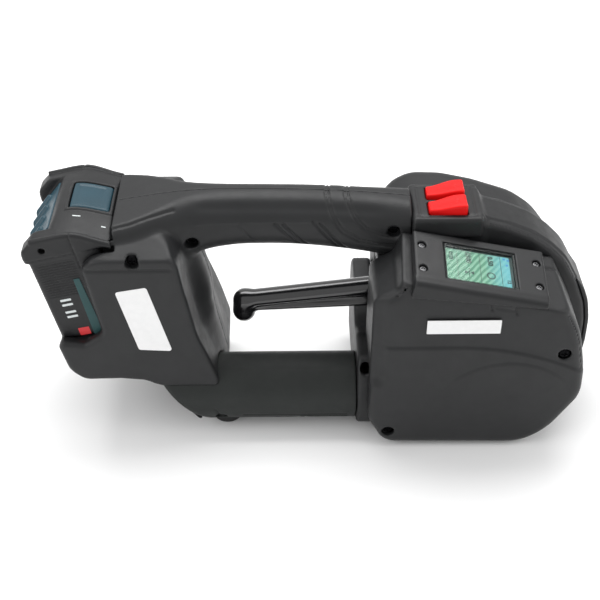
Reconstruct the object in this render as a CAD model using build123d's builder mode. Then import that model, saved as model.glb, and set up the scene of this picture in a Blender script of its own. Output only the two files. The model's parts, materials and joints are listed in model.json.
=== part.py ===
from build123d import *
from math import acos, atan2, cos, degrees, pi, radians, sin, sqrt, tan
import os

os.makedirs("parts", exist_ok=True)

# ---------------------------------------------------------------------------
# Driving dimensions, in millimetres and degrees.
# Origin: underside of the base plate, in the handle's centre plane.
# +X points to the head's nose, +Z up, and the screen side faces -Y.
# ---------------------------------------------------------------------------

# fits
wall = 2.6
run_fit = 0.05
slip = 0.4
air = 0.3
hole_fit = 0.1

# handle, between the head and the battery dock
head_rear_x = -36.0
reach = 132.0
dock_x = head_rear_x - reach
handle_half = 17.0
handle_top = 150.0
handle_depth = 35.5
handle_corner = 15.5

# battery dock and battery
dock_tilt = 12.6
battery_half = 38.0
cheek_room = 4.0
dock_half = battery_half + slip + wall + cheek_room
cell_radius = 9.0
cell_gap = 0.3
cell_play = 0.5
cell_length = 62.0
battery_back = 28.0
battery_front = 2 * wall + 4 * cell_radius + cell_gap + cell_play - battery_back
battery_top = 25.0
battery_foot = -47.0
sled_foot = -72.0
tongue_neck = 20.0
tongue_half = 25.0
tongue_step = 3.6
cap_height = 12.0
tongue_depth = 8.0
floor_thick = 3.0
rail_lip = 6.0

# motor bar, below the handle
motor_y = -29.0
motor_z = 24.5
bar_radius = 20.5
bar_front_x = -54.0
shaft_radius = 3.0
motor_length = 58.0

# belt from the motor shaft to the weld shaft
weld_shaft_y = 30.0
weld_shaft_z = 50.0
belt_pitch = 3.0
belt_teeth = 18
weld_teeth = 15
belt_width = 7.0
belt_thick = 1.4
belt_case_x = -66.0
belt_case_depth = 12.0

# head
spine_half = 17.0
cover_depth = 45.0
near_face_y = -spine_half - cover_depth
far_face_y = spine_half + cover_depth
base_thick = 4.0
strap_gap = 5.4
strap_stop_y = 18.0
plate_thick = 4.0

# gears: bevel pair, then the tension pair
cross_x = -8.0
gear_module = 1.25
bevel_pinion_teeth = 12
bevel_gear_teeth = 24
bevel_face = 6.0
drive_teeth = 24
wheel_teeth = 32
backlash = 0.36
gear_width = 9.0
tension_angle = 3.0
cross_radius = 5.0
axle_radius = 4.0
tension_gap = 1.3
tension_width = 16.0

# weld unit
weld_x = -33.0
shoe_length = 14.0
shoe_width = 18.0
press_travel = 2.5
shoe_travel = 1.0
eccentric = 1.0
journal_radius = 5.0

# lever
lever_x = -42.0
lever_z = 80.0
lever_length = 98.0
lever_half = 6.5
pin_radius = 3.0

# panel and screen
panel_length = 78.0
panel_margin = 5.0
panel_width = cover_depth - panel_margin
panel_thick = 6.0
screen_length = 40.8
screen_width = 26.0
panel_rise = 120.6

# push buttons
button_length = 22.0
button_width = 13.0
button_stroke = 2.5
button_x = -15.0
button_y = 8.0
button_top = 146.5
key_low = 132.0
stem_low = 126.0

# fasteners
screw_radius = 1.5
head_radius = 3.2
head_depth = 2.6
recess_radius = 4.25
recess_depth = 4.0
boss_radius = 5.6
dock_screw_length = 60.0


# ---------------------------------------------------------------------------
# Planes and small builders
# ---------------------------------------------------------------------------

def along_x(x, y, z):
    """A plane whose normal is +X, with its own X along +Y."""
    return Plane(origin=(x, y, z), x_dir=(0, 1, 0), z_dir=(1, 0, 0))


def along_y(x, y, z):
    """A plane whose normal is +Y, with its own X along +X."""
    return Plane(origin=(x, y, z), x_dir=(1, 0, 0), z_dir=(0, 1, 0))


def along_z(x, y, z):
    """A plane whose normal is +Z."""
    return Plane(origin=(x, y, z), x_dir=(1, 0, 0), z_dir=(0, 0, 1))


def rod(plane, radius, length, mode=Mode.ADD):
    """A cylinder that stands on a plane."""
    with BuildSketch(plane) as section:
        Circle(radius)
    extrude(section.sketch, amount=length, mode=mode)


def ring(plane, outer, inner, length, mode=Mode.ADD):
    """A tube that stands on a plane."""
    with BuildSketch(plane) as section:
        Circle(outer)
        Circle(inner, mode=Mode.SUBTRACT)
    extrude(section.sketch, amount=length, mode=mode)


def block(x_span, y_span, z_span, corner=0.0, mode=Mode.ADD):
    """A box between two values on each axis, with its upright corners rounded."""
    middle = ((x_span[0] + x_span[1]) / 2, (y_span[0] + y_span[1]) / 2)
    with BuildSketch(Plane.XY.offset(z_span[0])) as section:
        with Locations(middle):
            Rectangle(x_span[1] - x_span[0], y_span[1] - y_span[0])
        if corner:
            fillet(section.vertices(), corner)
    extrude(section.sketch, amount=z_span[1] - z_span[0], mode=mode)


def outline(plane, points, inset=0.0, corner=0.0):
    """A closed outline, moved inwards by inset."""
    with BuildSketch(plane) as section:
        with BuildLine():
            Polyline(*points, close=True)
        make_face()
        if corner:
            fillet(section.vertices(), corner)
        if inset:
            offset(amount=-inset, kind=Kind.INTERSECTION, mode=Mode.REPLACE)
    return section.sketch


def slab(points, y_low, y_high, inset=0.0, corner=0.0, mode=Mode.ADD):
    """An outline in X and Z, extruded between two values of Y."""
    section = outline(Plane.XZ.offset(-y_high), points, inset, corner)
    extrude(section, amount=y_high - y_low, mode=mode)


def cross_slab(points, x_low, x_high, inset=0.0, mode=Mode.ADD):
    """An outline in Y and Z, extruded between two values of X."""
    section = outline(along_x(x_low, 0, 0), points, inset)
    extrude(section, amount=x_high - x_low, mode=mode)


# ---------------------------------------------------------------------------
# Battery dock frame: t runs forwards across the battery, u up along its rails
# ---------------------------------------------------------------------------

tilt_sin = sin(radians(dock_tilt))
tilt_cos = cos(radians(dock_tilt))
dock_origin = (dock_x - 56.5, 0, 120.2)


def dock_plane(rise):
    """The plane across the rails, at a height u along them."""
    origin = (dock_origin[0] - rise * tilt_sin, 0, dock_origin[2] + rise * tilt_cos)
    return Plane(origin=origin, x_dir=(tilt_cos, 0, tilt_sin), z_dir=(-tilt_sin, 0, tilt_cos))


def dock_block(t_span, y_span, u_span, corner=0.0, mode=Mode.ADD):
    """A box in the dock's tilted frame."""
    middle = ((t_span[0] + t_span[1]) / 2, (y_span[0] + y_span[1]) / 2)
    with BuildSketch(dock_plane(u_span[0])) as section:
        with Locations(middle):
            Rectangle(t_span[1] - t_span[0], y_span[1] - y_span[0])
        if corner:
            fillet(section.vertices(), corner)
    extrude(section.sketch, amount=u_span[1] - u_span[0], mode=mode)


# ---------------------------------------------------------------------------
# Outer casing of the handle and the dock
# ---------------------------------------------------------------------------

dock_points = [
    (dock_x - 48.0, 78.0), (dock_x - 59.0, 70.5), (dock_x - 72.5, 72.5), (dock_x - 75.0, 68.0),
    (dock_x - 70.5, 50.0), (dock_x - 62.0, 42.5), (dock_x - 40.0, 43.0), (dock_x - 26.0, 41.5),
    (dock_x - 16.5, 36.5), (dock_x - 7.0, 24.0), (dock_x + 5.0, 8.5),
    (dock_x + 21.0, 8.5), (dock_x + 22.0, 28.0), (dock_x + 17.0, 47.0), (dock_x + 13.5, 58.0),
    (dock_x + 7.5, 75.0), (dock_x + 1.5, 108.0), (dock_x - 0.5, 131.0), (dock_x - 4.0, 137.5),
    (dock_x - 22.0, 137.5), (dock_x - 35.0, 135.0), (dock_x - 49.5, 130.7), (dock_x - 55.5, 125.0),
]
handle_bottom = handle_top - handle_depth
handle_stations = [
    (dock_x - 47.0, battery_half, 96.0, handle_top - 4.5, 8.0),
    (dock_x - 22.0, battery_half - 5.0, 100.0, handle_top - 2.0, 10.0),
    (dock_x, handle_half + 3.0, handle_bottom - 5.0, handle_top - 0.5, 14.0),
    (dock_x + 0.21 * reach, handle_half, handle_bottom - 0.5, handle_top, handle_corner),
    (dock_x + 0.5 * reach, handle_half, handle_bottom, handle_top, handle_corner),
    (dock_x + 0.81 * reach, handle_half - 1.4, handle_bottom - 4.0, handle_top - 1.0, 14.0),
    (head_rear_x, handle_half - 1.6, handle_bottom - 6.0, handle_top - 4.5, 11.0),
]


def handle_section(station, inset):
    """One upright cross-section of the handle."""
    x, half, low, high, corner = station
    with BuildSketch(along_x(x, 0, (low + high) / 2)) as section:
        RectangleRounded(2 * (half - inset), high - low - 2 * inset, corner - inset)
    return section.sketch


handle_screws_xz = [(dock_x + 5.2, 124.6), (head_rear_x - 10.0, 130.0)]
# x, z and the side of the casing that each dock screw goes in from
dock_screws = [(dock_x - 26.4, 129.0, -1), (dock_x - 50.0, 57.0, 1)]


def dock_side(x, z, side):
    """The plane of one side of the dock, with its normal pointing inwards."""
    return Plane(origin=(x, side * dock_half, z), x_dir=(1, 0, 0), z_dir=(0, -side, 0))


with BuildPart() as casing_room:
    slab(dock_points, -dock_half + wall, dock_half - wall, inset=wall)
    loft([handle_section(station, wall) for station in handle_stations])

with BuildPart() as casing:
    slab(dock_points, -dock_half, dock_half)
    side_edges = casing.faces().filter_by(Axis.Y).edges()
    chamfer(side_edges, 2.2)
    loft([handle_section(station, 0.0) for station in handle_stations])
    add(casing_room.part, mode=Mode.SUBTRACT)
    # bosses across both halves for the case screws
    for screw_x, screw_z in handle_screws_xz:
        rod(along_y(screw_x, -handle_half + wall, screw_z), boss_radius, 2 * (handle_half - wall))
    for screw_x, screw_z, side in dock_screws:
        rod(along_y(screw_x, -dock_half + wall, screw_z), boss_radius, 2 * (dock_half - wall))
    # battery pocket, open at the rear and at the top
    pocket_half = battery_half + slip
    dock_block((-70.0, battery_front + tongue_depth + slip), (-pocket_half, pocket_half),
               (battery_foot - slip, 80.0), mode=Mode.SUBTRACT)
    dock_block((slip, battery_front + tongue_depth + slip), (-pocket_half, pocket_half),
               (sled_foot - floor_thick - slip, 0.0), mode=Mode.SUBTRACT)
    for screw_x, screw_z, side in dock_screws:
        rod(dock_side(screw_x, screw_z, side), recess_radius, recess_depth, mode=Mode.SUBTRACT)
        rod(dock_side(screw_x, screw_z, side), screw_radius + hole_fit, 2 * dock_half - wall, mode=Mode.SUBTRACT)
    for screw_x, screw_z in handle_screws_xz:
        rod(along_y(screw_x, -handle_half - 4, screw_z), recess_radius, recess_depth + 4,
            mode=Mode.SUBTRACT)
        rod(along_y(screw_x, -handle_half, screw_z), screw_radius + hole_fit, 2 * handle_half - wall,
            mode=Mode.SUBTRACT)
    # the motor bar enters the foot of the dock here
    rod(along_x(dock_x + 4.0, motor_y, motor_z), bar_radius + air, 40.0, mode=Mode.SUBTRACT)
    block((dock_x + 4.0, dock_x + 30.0), (-dock_half - 1.0, motor_y - 0.6 * bar_radius),
          (0.0, motor_z - 0.6 * bar_radius),
          mode=Mode.SUBTRACT)

with BuildPart() as handle_shell_near:
    add(casing.part)
    split(bisect_by=Plane.XZ, keep=Keep.TOP)
handle_shell_near.part.label = "handle_shell_near"
export_step(handle_shell_near.part, "parts/handle_shell_near.step")

with BuildPart() as handle_shell_far:
    add(casing.part)
    split(bisect_by=Plane.XZ, keep=Keep.BOTTOM)
handle_shell_far.part.label = "handle_shell_far"
export_step(handle_shell_far.part, "parts/handle_shell_far.step")

# screws of the handle and the dock
with BuildPart() as handle_screws:
    for screw_x, screw_z in handle_screws_xz:
        seat_y = -handle_half + recess_depth
        rod(along_y(screw_x, seat_y - head_depth, screw_z), head_radius, head_depth)
        rod(along_y(screw_x, seat_y, screw_z), screw_radius, 2 * handle_half - recess_depth - 3 * wall)
    for screw_x, screw_z, side in dock_screws:
        face = dock_side(screw_x, screw_z, side)
        rod(face.offset(recess_depth - head_depth), head_radius, head_depth)
        rod(face.offset(recess_depth), screw_radius, dock_screw_length)
handle_screws.part.label = "handle_screws"
export_step(handle_screws.part, "parts/handle_screws.step")

# ---------------------------------------------------------------------------
# Dock plate with its rails, floor and contact blades
# ---------------------------------------------------------------------------

plate_t = battery_front + tongue_depth + slip
plate_half = battery_half - wall - slip
rail_low = sled_foot
rail_high = battery_top - cap_height - slip

with BuildPart() as dock_plate:
    dock_block((plate_t, plate_t + wall), (-plate_half, plate_half),
               (sled_foot - floor_thick, rail_high - 2 * wall))
    for side in (-1, 1):
        lip = sorted((side * (tongue_neck + slip), side * (tongue_half + rail_lip)))
        leg = sorted((side * (tongue_half + slip), side * (tongue_half + rail_lip)))
        dock_block((battery_front + air, battery_front + tongue_step - air), lip, (rail_low, rail_high))
        dock_block((battery_front + air, plate_t), leg, (rail_low, rail_high))
    # floor that the battery's foot stands on
    dock_block((2.0, plate_t), (-pocket_half + 1.0, pocket_half - 1.0),
               (sled_foot - floor_thick, sled_foot - air))
dock_plate.part.label = "dock_plate"
export_step(dock_plate.part, "parts/dock_plate.step")

blade_rows = [-14.0, -5.0, 5.0, 14.0]
blade_thick = 1.0
blade_length = 14.0
with BuildPart() as dock_contacts:
    for row in blade_rows:
        dock_block((battery_front + tongue_step + 1.0, plate_t),
                   (row - blade_thick / 2, row + blade_thick / 2),
                   (sled_foot, sled_foot + blade_length))
dock_contacts.part.label = "dock_contacts"
export_step(dock_contacts.part, "parts/dock_contacts.step")

# ---------------------------------------------------------------------------
# Battery: case, cells, contacts and the latch that rides on it
# ---------------------------------------------------------------------------

latch_t = (-3.0, 20.0)
latch_y = (-12.0, 14.0)
cell_places = [(0, 0), (0, 1), (0, 2), (1, 0), (1, 1)]

with BuildPart() as battery_case:
    dock_block((-battery_back, battery_front), (-battery_half, battery_half), (battery_foot, battery_top),
               4.0)
    dock_block((1.0, battery_front), (-battery_half, battery_half), (sled_foot, 0.0), 3.0)
    dock_block((battery_front - 1.0, battery_front + tongue_step), (-tongue_neck, tongue_neck),
               (sled_foot, battery_top - 1.0))
    dock_block((battery_front + tongue_step, battery_front + tongue_depth), (-tongue_half, tongue_half),
               (sled_foot, battery_top - 1.0))
    # cap that covers the rails from above
    dock_block((-battery_back, battery_front + tongue_depth), (-battery_half, battery_half),
               (battery_top - cap_height, battery_top), 4.0)
    # room for the cells
    dock_block((-battery_back + wall, battery_front - wall), (-battery_half + wall, battery_half - wall),
               (battery_foot + wall, battery_top - wall), mode=Mode.SUBTRACT)
    dock_block((1.0 + wall, battery_front - wall), (-battery_half + wall, battery_half - wall),
               (sled_foot + wall, battery_foot + 2 * wall), mode=Mode.SUBTRACT)
    # slots for the contact blades
    for row in blade_rows:
        dock_block((battery_front + tongue_step + 0.4, battery_front + tongue_depth + 1.0),
                   (row - blade_thick, row + blade_thick), (sled_foot - 1.0, sled_foot + 20.0),
                   mode=Mode.SUBTRACT)
    # window for the latch button
    dock_block(latch_t, latch_y, (battery_top - wall - 4.0, battery_top + 5.0), mode=Mode.SUBTRACT)
battery_case.part.label = "battery_case"
export_step(battery_case.part, "parts/battery_case.step")

with BuildPart() as battery_latch:
    latch_in_t = (latch_t[0] + slip, latch_t[1] - slip)
    latch_in_y = (latch_y[0] + slip, latch_y[1] - slip)
    dock_block(latch_in_t, latch_in_y, (battery_top - 3.5, battery_top + 1.2), 2.0)
battery_latch.part.label = "battery_latch"
export_step(battery_latch.part, "parts/battery_latch.step")

with BuildPart() as battery_cells:
    for column, rank in cell_places:
        cell_t = -battery_back + wall + air + cell_radius + column * (2 * cell_radius + cell_gap)
        cell_u = battery_foot + wall + air + cell_radius + rank * (2 * cell_radius + cell_gap)
        centre = dock_plane(cell_u).from_local_coords((cell_t, -cell_length / 2, 0))
        rod(along_y(centre.X, centre.Y, centre.Z), cell_radius, cell_length)
battery_cells.part.label = "battery_cells"
export_step(battery_cells.part, "parts/battery_cells.step")

# ---------------------------------------------------------------------------
# Motor bar and motor
# ---------------------------------------------------------------------------

bar_rear_x = dock_x + 8.0
bar_tail_x = bar_front_x - (belt_case_depth + air)
bar_inner = bar_radius - wall
motor_rear_x = bar_rear_x + 10.0
motor_front_x = motor_rear_x + motor_length
can_radius = bar_inner - air
can_thick = 1.6

with BuildPart() as motor_bar:
    ring(along_x(bar_rear_x, motor_y, motor_z), bar_radius, bar_inner, bar_tail_x - bar_rear_x)
    rod(along_x(bar_rear_x, motor_y, motor_z), bar_inner, wall)
    # flat strip along the top
    top_z = motor_z + bar_radius
    block((bar_rear_x, bar_tail_x), (motor_y - bar_radius, motor_y + bar_radius), (top_z - 0.8, top_z + 1),
          mode=Mode.SUBTRACT)
motor_bar.part.label = "motor_bar"
export_step(motor_bar.part, "parts/motor_bar.step")

with BuildPart() as bar_foot:
    block((bar_rear_x + 4.0, bar_rear_x + 24.0), (motor_y - 9.0, motor_y + 9.0), (0.0, 12.0), 5.0)
    rod(along_x(bar_rear_x, motor_y, motor_z), bar_radius, 60.0, mode=Mode.SUBTRACT)
bar_foot.part.label = "bar_foot"
export_step(bar_foot.part, "parts/bar_foot.step")

with BuildPart() as motor_can:
    ring(along_x(motor_rear_x, motor_y, motor_z), can_radius, can_radius - can_thick, motor_length)
    for face_x in (motor_rear_x, motor_front_x - 2.0):
        ring(along_x(face_x, motor_y, motor_z), can_radius - can_thick, 8.0 + run_fit, 2.0)
motor_can.part.label = "motor_can"
export_step(motor_can.part, "parts/motor_can.step")

with BuildPart() as stator_poles:
    pole_count = 6
    pole_inner = 11.6
    pole_x = motor_rear_x + 8.0
    ring(along_x(pole_x, motor_y, motor_z), can_radius - can_thick - air, can_radius - 4.0, motor_length - 18.0)
    with BuildSketch(along_x(pole_x, motor_y, motor_z)) as pole:
        with PolarLocations((pole_inner + can_radius - 3.5) / 2, pole_count):
            Rectangle(can_radius - 3.5 - pole_inner, 4.0)
    extrude(pole.sketch, amount=motor_length - 18.0)
stator_poles.part.label = "stator_poles"
export_step(stator_poles.part, "parts/stator_poles.step")

with BuildPart() as rotor_core:
    ring(along_x(pole_x, motor_y, motor_z), pole_inner - 0.8, shaft_radius, motor_length - 18.0)
rotor_core.part.label = "rotor_core"
export_step(rotor_core.part, "parts/rotor_core.step")

fan_x = motor_front_x + 2.0
with BuildPart() as cooling_fan:
    ring(along_x(fan_x, motor_y, motor_z), can_radius - 1.5, shaft_radius, 1.5)
    with BuildSketch(along_x(fan_x + 1.5, motor_y, motor_z)) as fins:
        with PolarLocations(can_radius - 7.0, 9):
            Rectangle(8.0, 1.2)
    extrude(fins.sketch, amount=5.0)
cooling_fan.part.label = "cooling_fan"
export_step(cooling_fan.part, "parts/cooling_fan.step")

# ---------------------------------------------------------------------------
# Belt, pulleys and the case that they turn in
# ---------------------------------------------------------------------------

motor_pulley_radius = belt_teeth * belt_pitch / (2 * pi)
weld_pulley_radius = weld_teeth * belt_pitch / (2 * pi)
belt_x = belt_case_x + (belt_case_depth - belt_width) / 2
span_y = weld_shaft_y - motor_y
span_z = weld_shaft_z - motor_z
span = sqrt(span_y ** 2 + span_z ** 2)
span_angle = degrees(atan2(span_z, span_y))


def belt_area(extra):
    """The area inside a loop round both pulleys, grown by extra."""
    lean = degrees(acos((motor_pulley_radius - weld_pulley_radius) / span))
    corners = []
    for turn in (lean, -lean):
        ends = [(motor_y, motor_z, motor_pulley_radius + extra),
                (weld_shaft_y, weld_shaft_z, weld_pulley_radius + extra)]
        if turn < 0:
            ends.reverse()
        for centre_y, centre_z, radius in ends:
            angle = radians(span_angle + turn)
            corners.append((centre_y + radius * cos(angle), centre_z + radius * sin(angle)))
    with BuildSketch(along_x(belt_x, 0, 0)) as area:
        with BuildLine():
            Polyline(*corners, close=True)
        make_face()
        with Locations((motor_y, motor_z)):
            Circle(motor_pulley_radius + extra)
        with Locations((weld_shaft_y, weld_shaft_z)):
            Circle(weld_pulley_radius + extra)
    return area.sketch


def pulley(centre_y, centre_z, radius, teeth, bore):
    """A toothed pulley with two flanges."""
    with BuildSketch(along_x(belt_x + 0.6, centre_y, centre_z)) as rim:
        Circle(radius)
        with PolarLocations(radius, teeth):
            Circle(0.75, mode=Mode.SUBTRACT)
        Circle(bore, mode=Mode.SUBTRACT)
    extrude(rim.sketch, amount=belt_width - 1.2)
    for flange_x in (belt_x - 0.6, belt_x + belt_width - 0.4):
        ring(along_x(flange_x, centre_y, centre_z), radius + 0.1, bore, 1.0)


with BuildPart() as drive_belt:
    extrude(belt_area(air + belt_thick), amount=belt_width)
    extrude(belt_area(air), amount=belt_width, mode=Mode.SUBTRACT)
drive_belt.part.label = "drive_belt"
export_step(drive_belt.part, "parts/drive_belt.step")

with BuildPart() as motor_pulley:
    pulley(motor_y, motor_z, motor_pulley_radius, belt_teeth, shaft_radius)
motor_pulley.part.label = "motor_pulley"
export_step(motor_pulley.part, "parts/motor_pulley.step")

with BuildPart() as weld_pulley:
    pulley(weld_shaft_y, weld_shaft_z, weld_pulley_radius, weld_teeth, shaft_radius)
weld_pulley.part.label = "weld_pulley"
export_step(weld_pulley.part, "parts/weld_pulley.step")

belt_case_points = [
    (motor_y - bar_radius, 10.0), (motor_y - 12.0, 5.0), (-6.0, 5.0), (10.0, 10.0), (50.0, 10.0),
    (52.0, 20.0), (52.0, 72.0),
    (44.0, 80.0), (9.0, 80.0), (9.0, 60.0), (-8.0, 50.0), (motor_y - 12.0, 46.0),
    (motor_y - bar_radius, 36.0),
]
with BuildPart() as belt_case:
    cross_slab(belt_case_points, belt_case_x, belt_case_x + belt_case_depth)
    cross_slab(belt_case_points, belt_case_x + 1.6, belt_case_x + belt_case_depth, inset=2.0,
               mode=Mode.SUBTRACT)
    rod(along_x(belt_case_x, motor_y, motor_z), 10.0, 2.0, mode=Mode.SUBTRACT)
belt_case.part.label = "belt_case"
export_step(belt_case.part, "parts/belt_case.step")

# ---------------------------------------------------------------------------
# Head covers
# ---------------------------------------------------------------------------

spine_points = [
    (-54.0, 94.0), (-54.0, 106.0), (head_rear_x + air, 107.0), (head_rear_x + air, 140.5), (5.0, 140.5),
    (8.0, 136.5), (22.0, 132.5), (37.0, 126.0), (48.0, 118.0), (58.5, 107.5), (67.0, 92.0), (73.5, 76.0),
    (76.0, 62.0), (76.4, 46.0), (75.0, 30.0), (71.0, 18.0), (64.0, base_thick + strap_gap),
    (-48.0, base_thick + strap_gap), (-48.0, 94.0),
]
near_points = [
    (-60.0, 24.0), (-50.0, 5.5), (34.0, 6.0), (48.0, 17.0), (64.6, 43.0), (64.0, 60.0),
    (59.0, 86.0), (47.0, 110.0), (42.0, 130.0), (-38.5, 140.0), (-46.0, 118.0), (-59.5, 110.0),
]
far_points = [
    (-53.5, 12.0), (-48.0, base_thick + strap_gap), (56.0, base_thick + strap_gap), (66.0, 20.0),
    (68.0, 56.0),
    (60.0, 88.0), (48.0, 104.0), (34.0, 114.0), (8.0, 123.0), (-12.0, 127.5), (-31.0, 128.0),
    (-44.0, 121.0), (-53.5, 100.0),
]

panel_lean_x = 0.21
panel_lean_y = 0.19
panel_plane = Plane(origin=(1.0, near_face_y + (cover_depth - 1.0) / 2, panel_rise),
                    x_dir=(1, 0, -panel_lean_x),
                    z_dir=(panel_lean_x, -panel_lean_y, 1))
bulkhead_x = belt_case_x + belt_case_depth + air
bulkhead_depth = 6.0
bulkhead_low_y = motor_y - 9.6
# x, z and the y where each cover screw's boss ends
cover_screws_xz = [(-48.0, 15.2, bulkhead_low_y - slip), (51.0, 74.0, -spine_half)]

with BuildPart() as spine_cover:
    slab(spine_points, -spine_half, spine_half)
    slab(spine_points, -spine_half + wall, spine_half - wall, inset=wall, mode=Mode.SUBTRACT)
    # side openings for the mechanism, behind the near and far covers
    slab([(-60.0, 3.0), (60.0 + slip, 3.0), (60.0 + slip, 64.2), (38.2, 102.0 + slip),
          (-30.2, 102.0 + slip),
          (-60.0, 86.5)], -spine_half, spine_half, mode=Mode.SUBTRACT)
    # mouth below, where the base plate's tools reach the strap
    block((-60.0, 72.0), (-spine_half, spine_half), (0.0, base_thick + strap_gap + wall + 1.0),
          mode=Mode.SUBTRACT)
    # slot for the lever, left open down to the belt case
    block((-60.0, head_rear_x - 6.0), (-spine_half, spine_half), (0.0, 94.0), mode=Mode.SUBTRACT)
    for side in (-1, 1):
        low_y = side * button_y - button_width / 2 - slip
        block((button_x - button_length / 2 - slip, button_x + button_length / 2 + slip),
              (low_y, low_y + button_width + 2 * slip), (key_low - button_stroke - slip, 150.0),
              mode=Mode.SUBTRACT)
spine_cover.part.label = "spine_cover"
export_step(spine_cover.part, "parts/spine_cover.step")

with BuildPart() as near_room:
    slab(near_points, near_face_y + wall, -spine_half + 1.0, inset=wall)
    split(bisect_by=panel_plane.offset(-panel_thick / 2 - wall), keep=Keep.BOTTOM)

with BuildPart() as near_cover:
    slab(near_points, near_face_y, -spine_half)
    split(bisect_by=panel_plane.offset(-panel_thick / 2), keep=Keep.BOTTOM)
    chamfer(near_cover.faces().sort_by(Axis.Y)[0].edges(), 3.0)
    add(near_room.part, mode=Mode.SUBTRACT)
    for screw_x, screw_z, boss_end in cover_screws_xz:
        rod(along_y(screw_x, near_face_y + wall, screw_z), boss_radius, boss_end - near_face_y - wall)
    for screw_x, screw_z, boss_end in cover_screws_xz:
        rod(along_y(screw_x, near_face_y, screw_z), recess_radius, recess_depth, mode=Mode.SUBTRACT)
        rod(along_y(screw_x, near_face_y, screw_z), screw_radius + hole_fit, cover_depth,
            mode=Mode.SUBTRACT)
    # way in for the motor bar and the belt
    block((-70.0, -56.9), (motor_y - bar_radius - 1.0, -spine_half), (0.0, motor_z + bar_radius + 6.0),
          mode=Mode.SUBTRACT)
    block((-57.0, belt_case_x + belt_case_depth + air), (motor_y - bar_radius - air, -spine_half),
          (0.0, motor_z + bar_radius + 6.0), mode=Mode.SUBTRACT)
    block((-57.0, bulkhead_x + bulkhead_depth + air), (bulkhead_low_y - air, -spine_half),
          (0.0, motor_z + bar_radius + 6.0), mode=Mode.SUBTRACT)
    # window under the screen
    with BuildSketch(panel_plane.offset(-panel_thick)) as window:
        Rectangle(screen_length + 8.0, screen_width + 2.0)
    extrude(window.sketch, amount=2 * panel_thick, mode=Mode.SUBTRACT)
near_cover.part.label = "near_cover"
export_step(near_cover.part, "parts/near_cover.step")

with BuildPart() as far_cover:
    slab(far_points, spine_half, far_face_y)
    chamfer(far_cover.faces().sort_by(Axis.Y)[-1].edges(), 4.0)
    slab(far_points, spine_half, far_face_y - wall, inset=wall, mode=Mode.SUBTRACT)
    # room for the bulkhead
    block((-60.0, bulkhead_x + bulkhead_depth + air), (0.0, 43.0 + air), (0.0, 66.0 + air),
          mode=Mode.SUBTRACT)
    # the strap goes in below, from the far side
    block((-60.0, 80.0), (0.0, far_face_y - 14.0), (0.0, base_thick + strap_gap + 2 * wall),
          mode=Mode.SUBTRACT)
far_cover.part.label = "far_cover"
export_step(far_cover.part, "parts/far_cover.step")

lid_thick = 1.9
lid_half = spine_half - 3.0
with BuildPart() as nose_cap:
    slab(spine_points, -lid_half, lid_half, inset=-lid_thick)
    slab(spine_points, -spine_half, spine_half, mode=Mode.SUBTRACT)
    block((60.0, 90.0), (-lid_half, lid_half), (36.0, 84.0), mode=Mode.INTERSECT)
nose_cap.part.label = "nose_cap"
export_step(nose_cap.part, "parts/nose_cap.step")

# ---------------------------------------------------------------------------
# Screen panel
# ---------------------------------------------------------------------------

panel_screw_x = panel_length / 2 - 5.0
panel_screw_y = panel_width / 2 - 11.0
panel_screw_places = [(sx * panel_screw_x, sy * panel_screw_y) for sx in (-1, 1) for sy in (-1, 1)]

with BuildPart() as panel_bezel:
    with BuildSketch(panel_plane.offset(-panel_thick / 2)) as bezel_face:
        RectangleRounded(panel_length, panel_width, 4.0)
        Rectangle(screen_length - 1.0, screen_width - 1.0, mode=Mode.SUBTRACT)
    extrude(bezel_face.sketch, amount=panel_thick)
    # seat for the glass
    with BuildSketch(panel_plane.offset(panel_thick / 2 - 1.2)) as glass_seat:
        RectangleRounded(screen_length + 2.0, screen_width + 2.0, 1.5)
    extrude(glass_seat.sketch, amount=3.0, mode=Mode.SUBTRACT)
    # seat for the screen module, from below
    with BuildSketch(panel_plane.offset(-panel_thick / 2)) as module_seat:
        Rectangle(screen_length + 4.0, screen_width)
    extrude(module_seat.sketch, amount=panel_thick - 2.4, mode=Mode.SUBTRACT)
    with BuildSketch(panel_plane.offset(panel_thick / 2 - 2.0)) as panel_recess:
        with Locations(*panel_screw_places):
            Circle(2.9)
    extrude(panel_recess.sketch, amount=4.0, mode=Mode.SUBTRACT)
    with BuildSketch(panel_plane.offset(-panel_thick)) as panel_hole:
        with Locations(*panel_screw_places):
            Circle(1.1)
    extrude(panel_hole.sketch, amount=3 * panel_thick, mode=Mode.SUBTRACT)
panel_bezel.part.label = "panel_bezel"
export_step(panel_bezel.part, "parts/panel_bezel.step")

with BuildPart() as screen_glass:
    with BuildSketch(panel_plane.offset(panel_thick / 2 - 1.2)) as glass_face:
        RectangleRounded(screen_length + 1.6, screen_width + 1.6, 1.3)
    extrude(glass_face.sketch, amount=1.0)
screen_glass.part.label = "screen_glass"
export_step(screen_glass.part, "parts/screen_glass.step")

with BuildPart() as screen_module:
    with BuildSketch(panel_plane.offset(-panel_thick / 2 - 1.0)) as module_face:
        Rectangle(screen_length + 3.4, screen_width - 0.6)
    extrude(module_face.sketch, amount=panel_thick - 2.4 + 1.0 - 0.2)
screen_module.part.label = "screen_module"
export_step(screen_module.part, "parts/screen_module.step")

with BuildPart() as panel_screws:
    with BuildSketch(panel_plane.offset(panel_thick / 2 - 2.0)) as panel_head:
        with Locations(*panel_screw_places):
            Circle(2.3)
    extrude(panel_head.sketch, amount=1.4)
    with BuildSketch(panel_plane.offset(-panel_thick / 2 + 0.2)) as panel_shank:
        with Locations(*panel_screw_places):
            Circle(1.0)
    extrude(panel_shank.sketch, amount=panel_thick - 2.2)
panel_screws.part.label = "panel_screws"
export_step(panel_screws.part, "parts/panel_screws.step")

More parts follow.
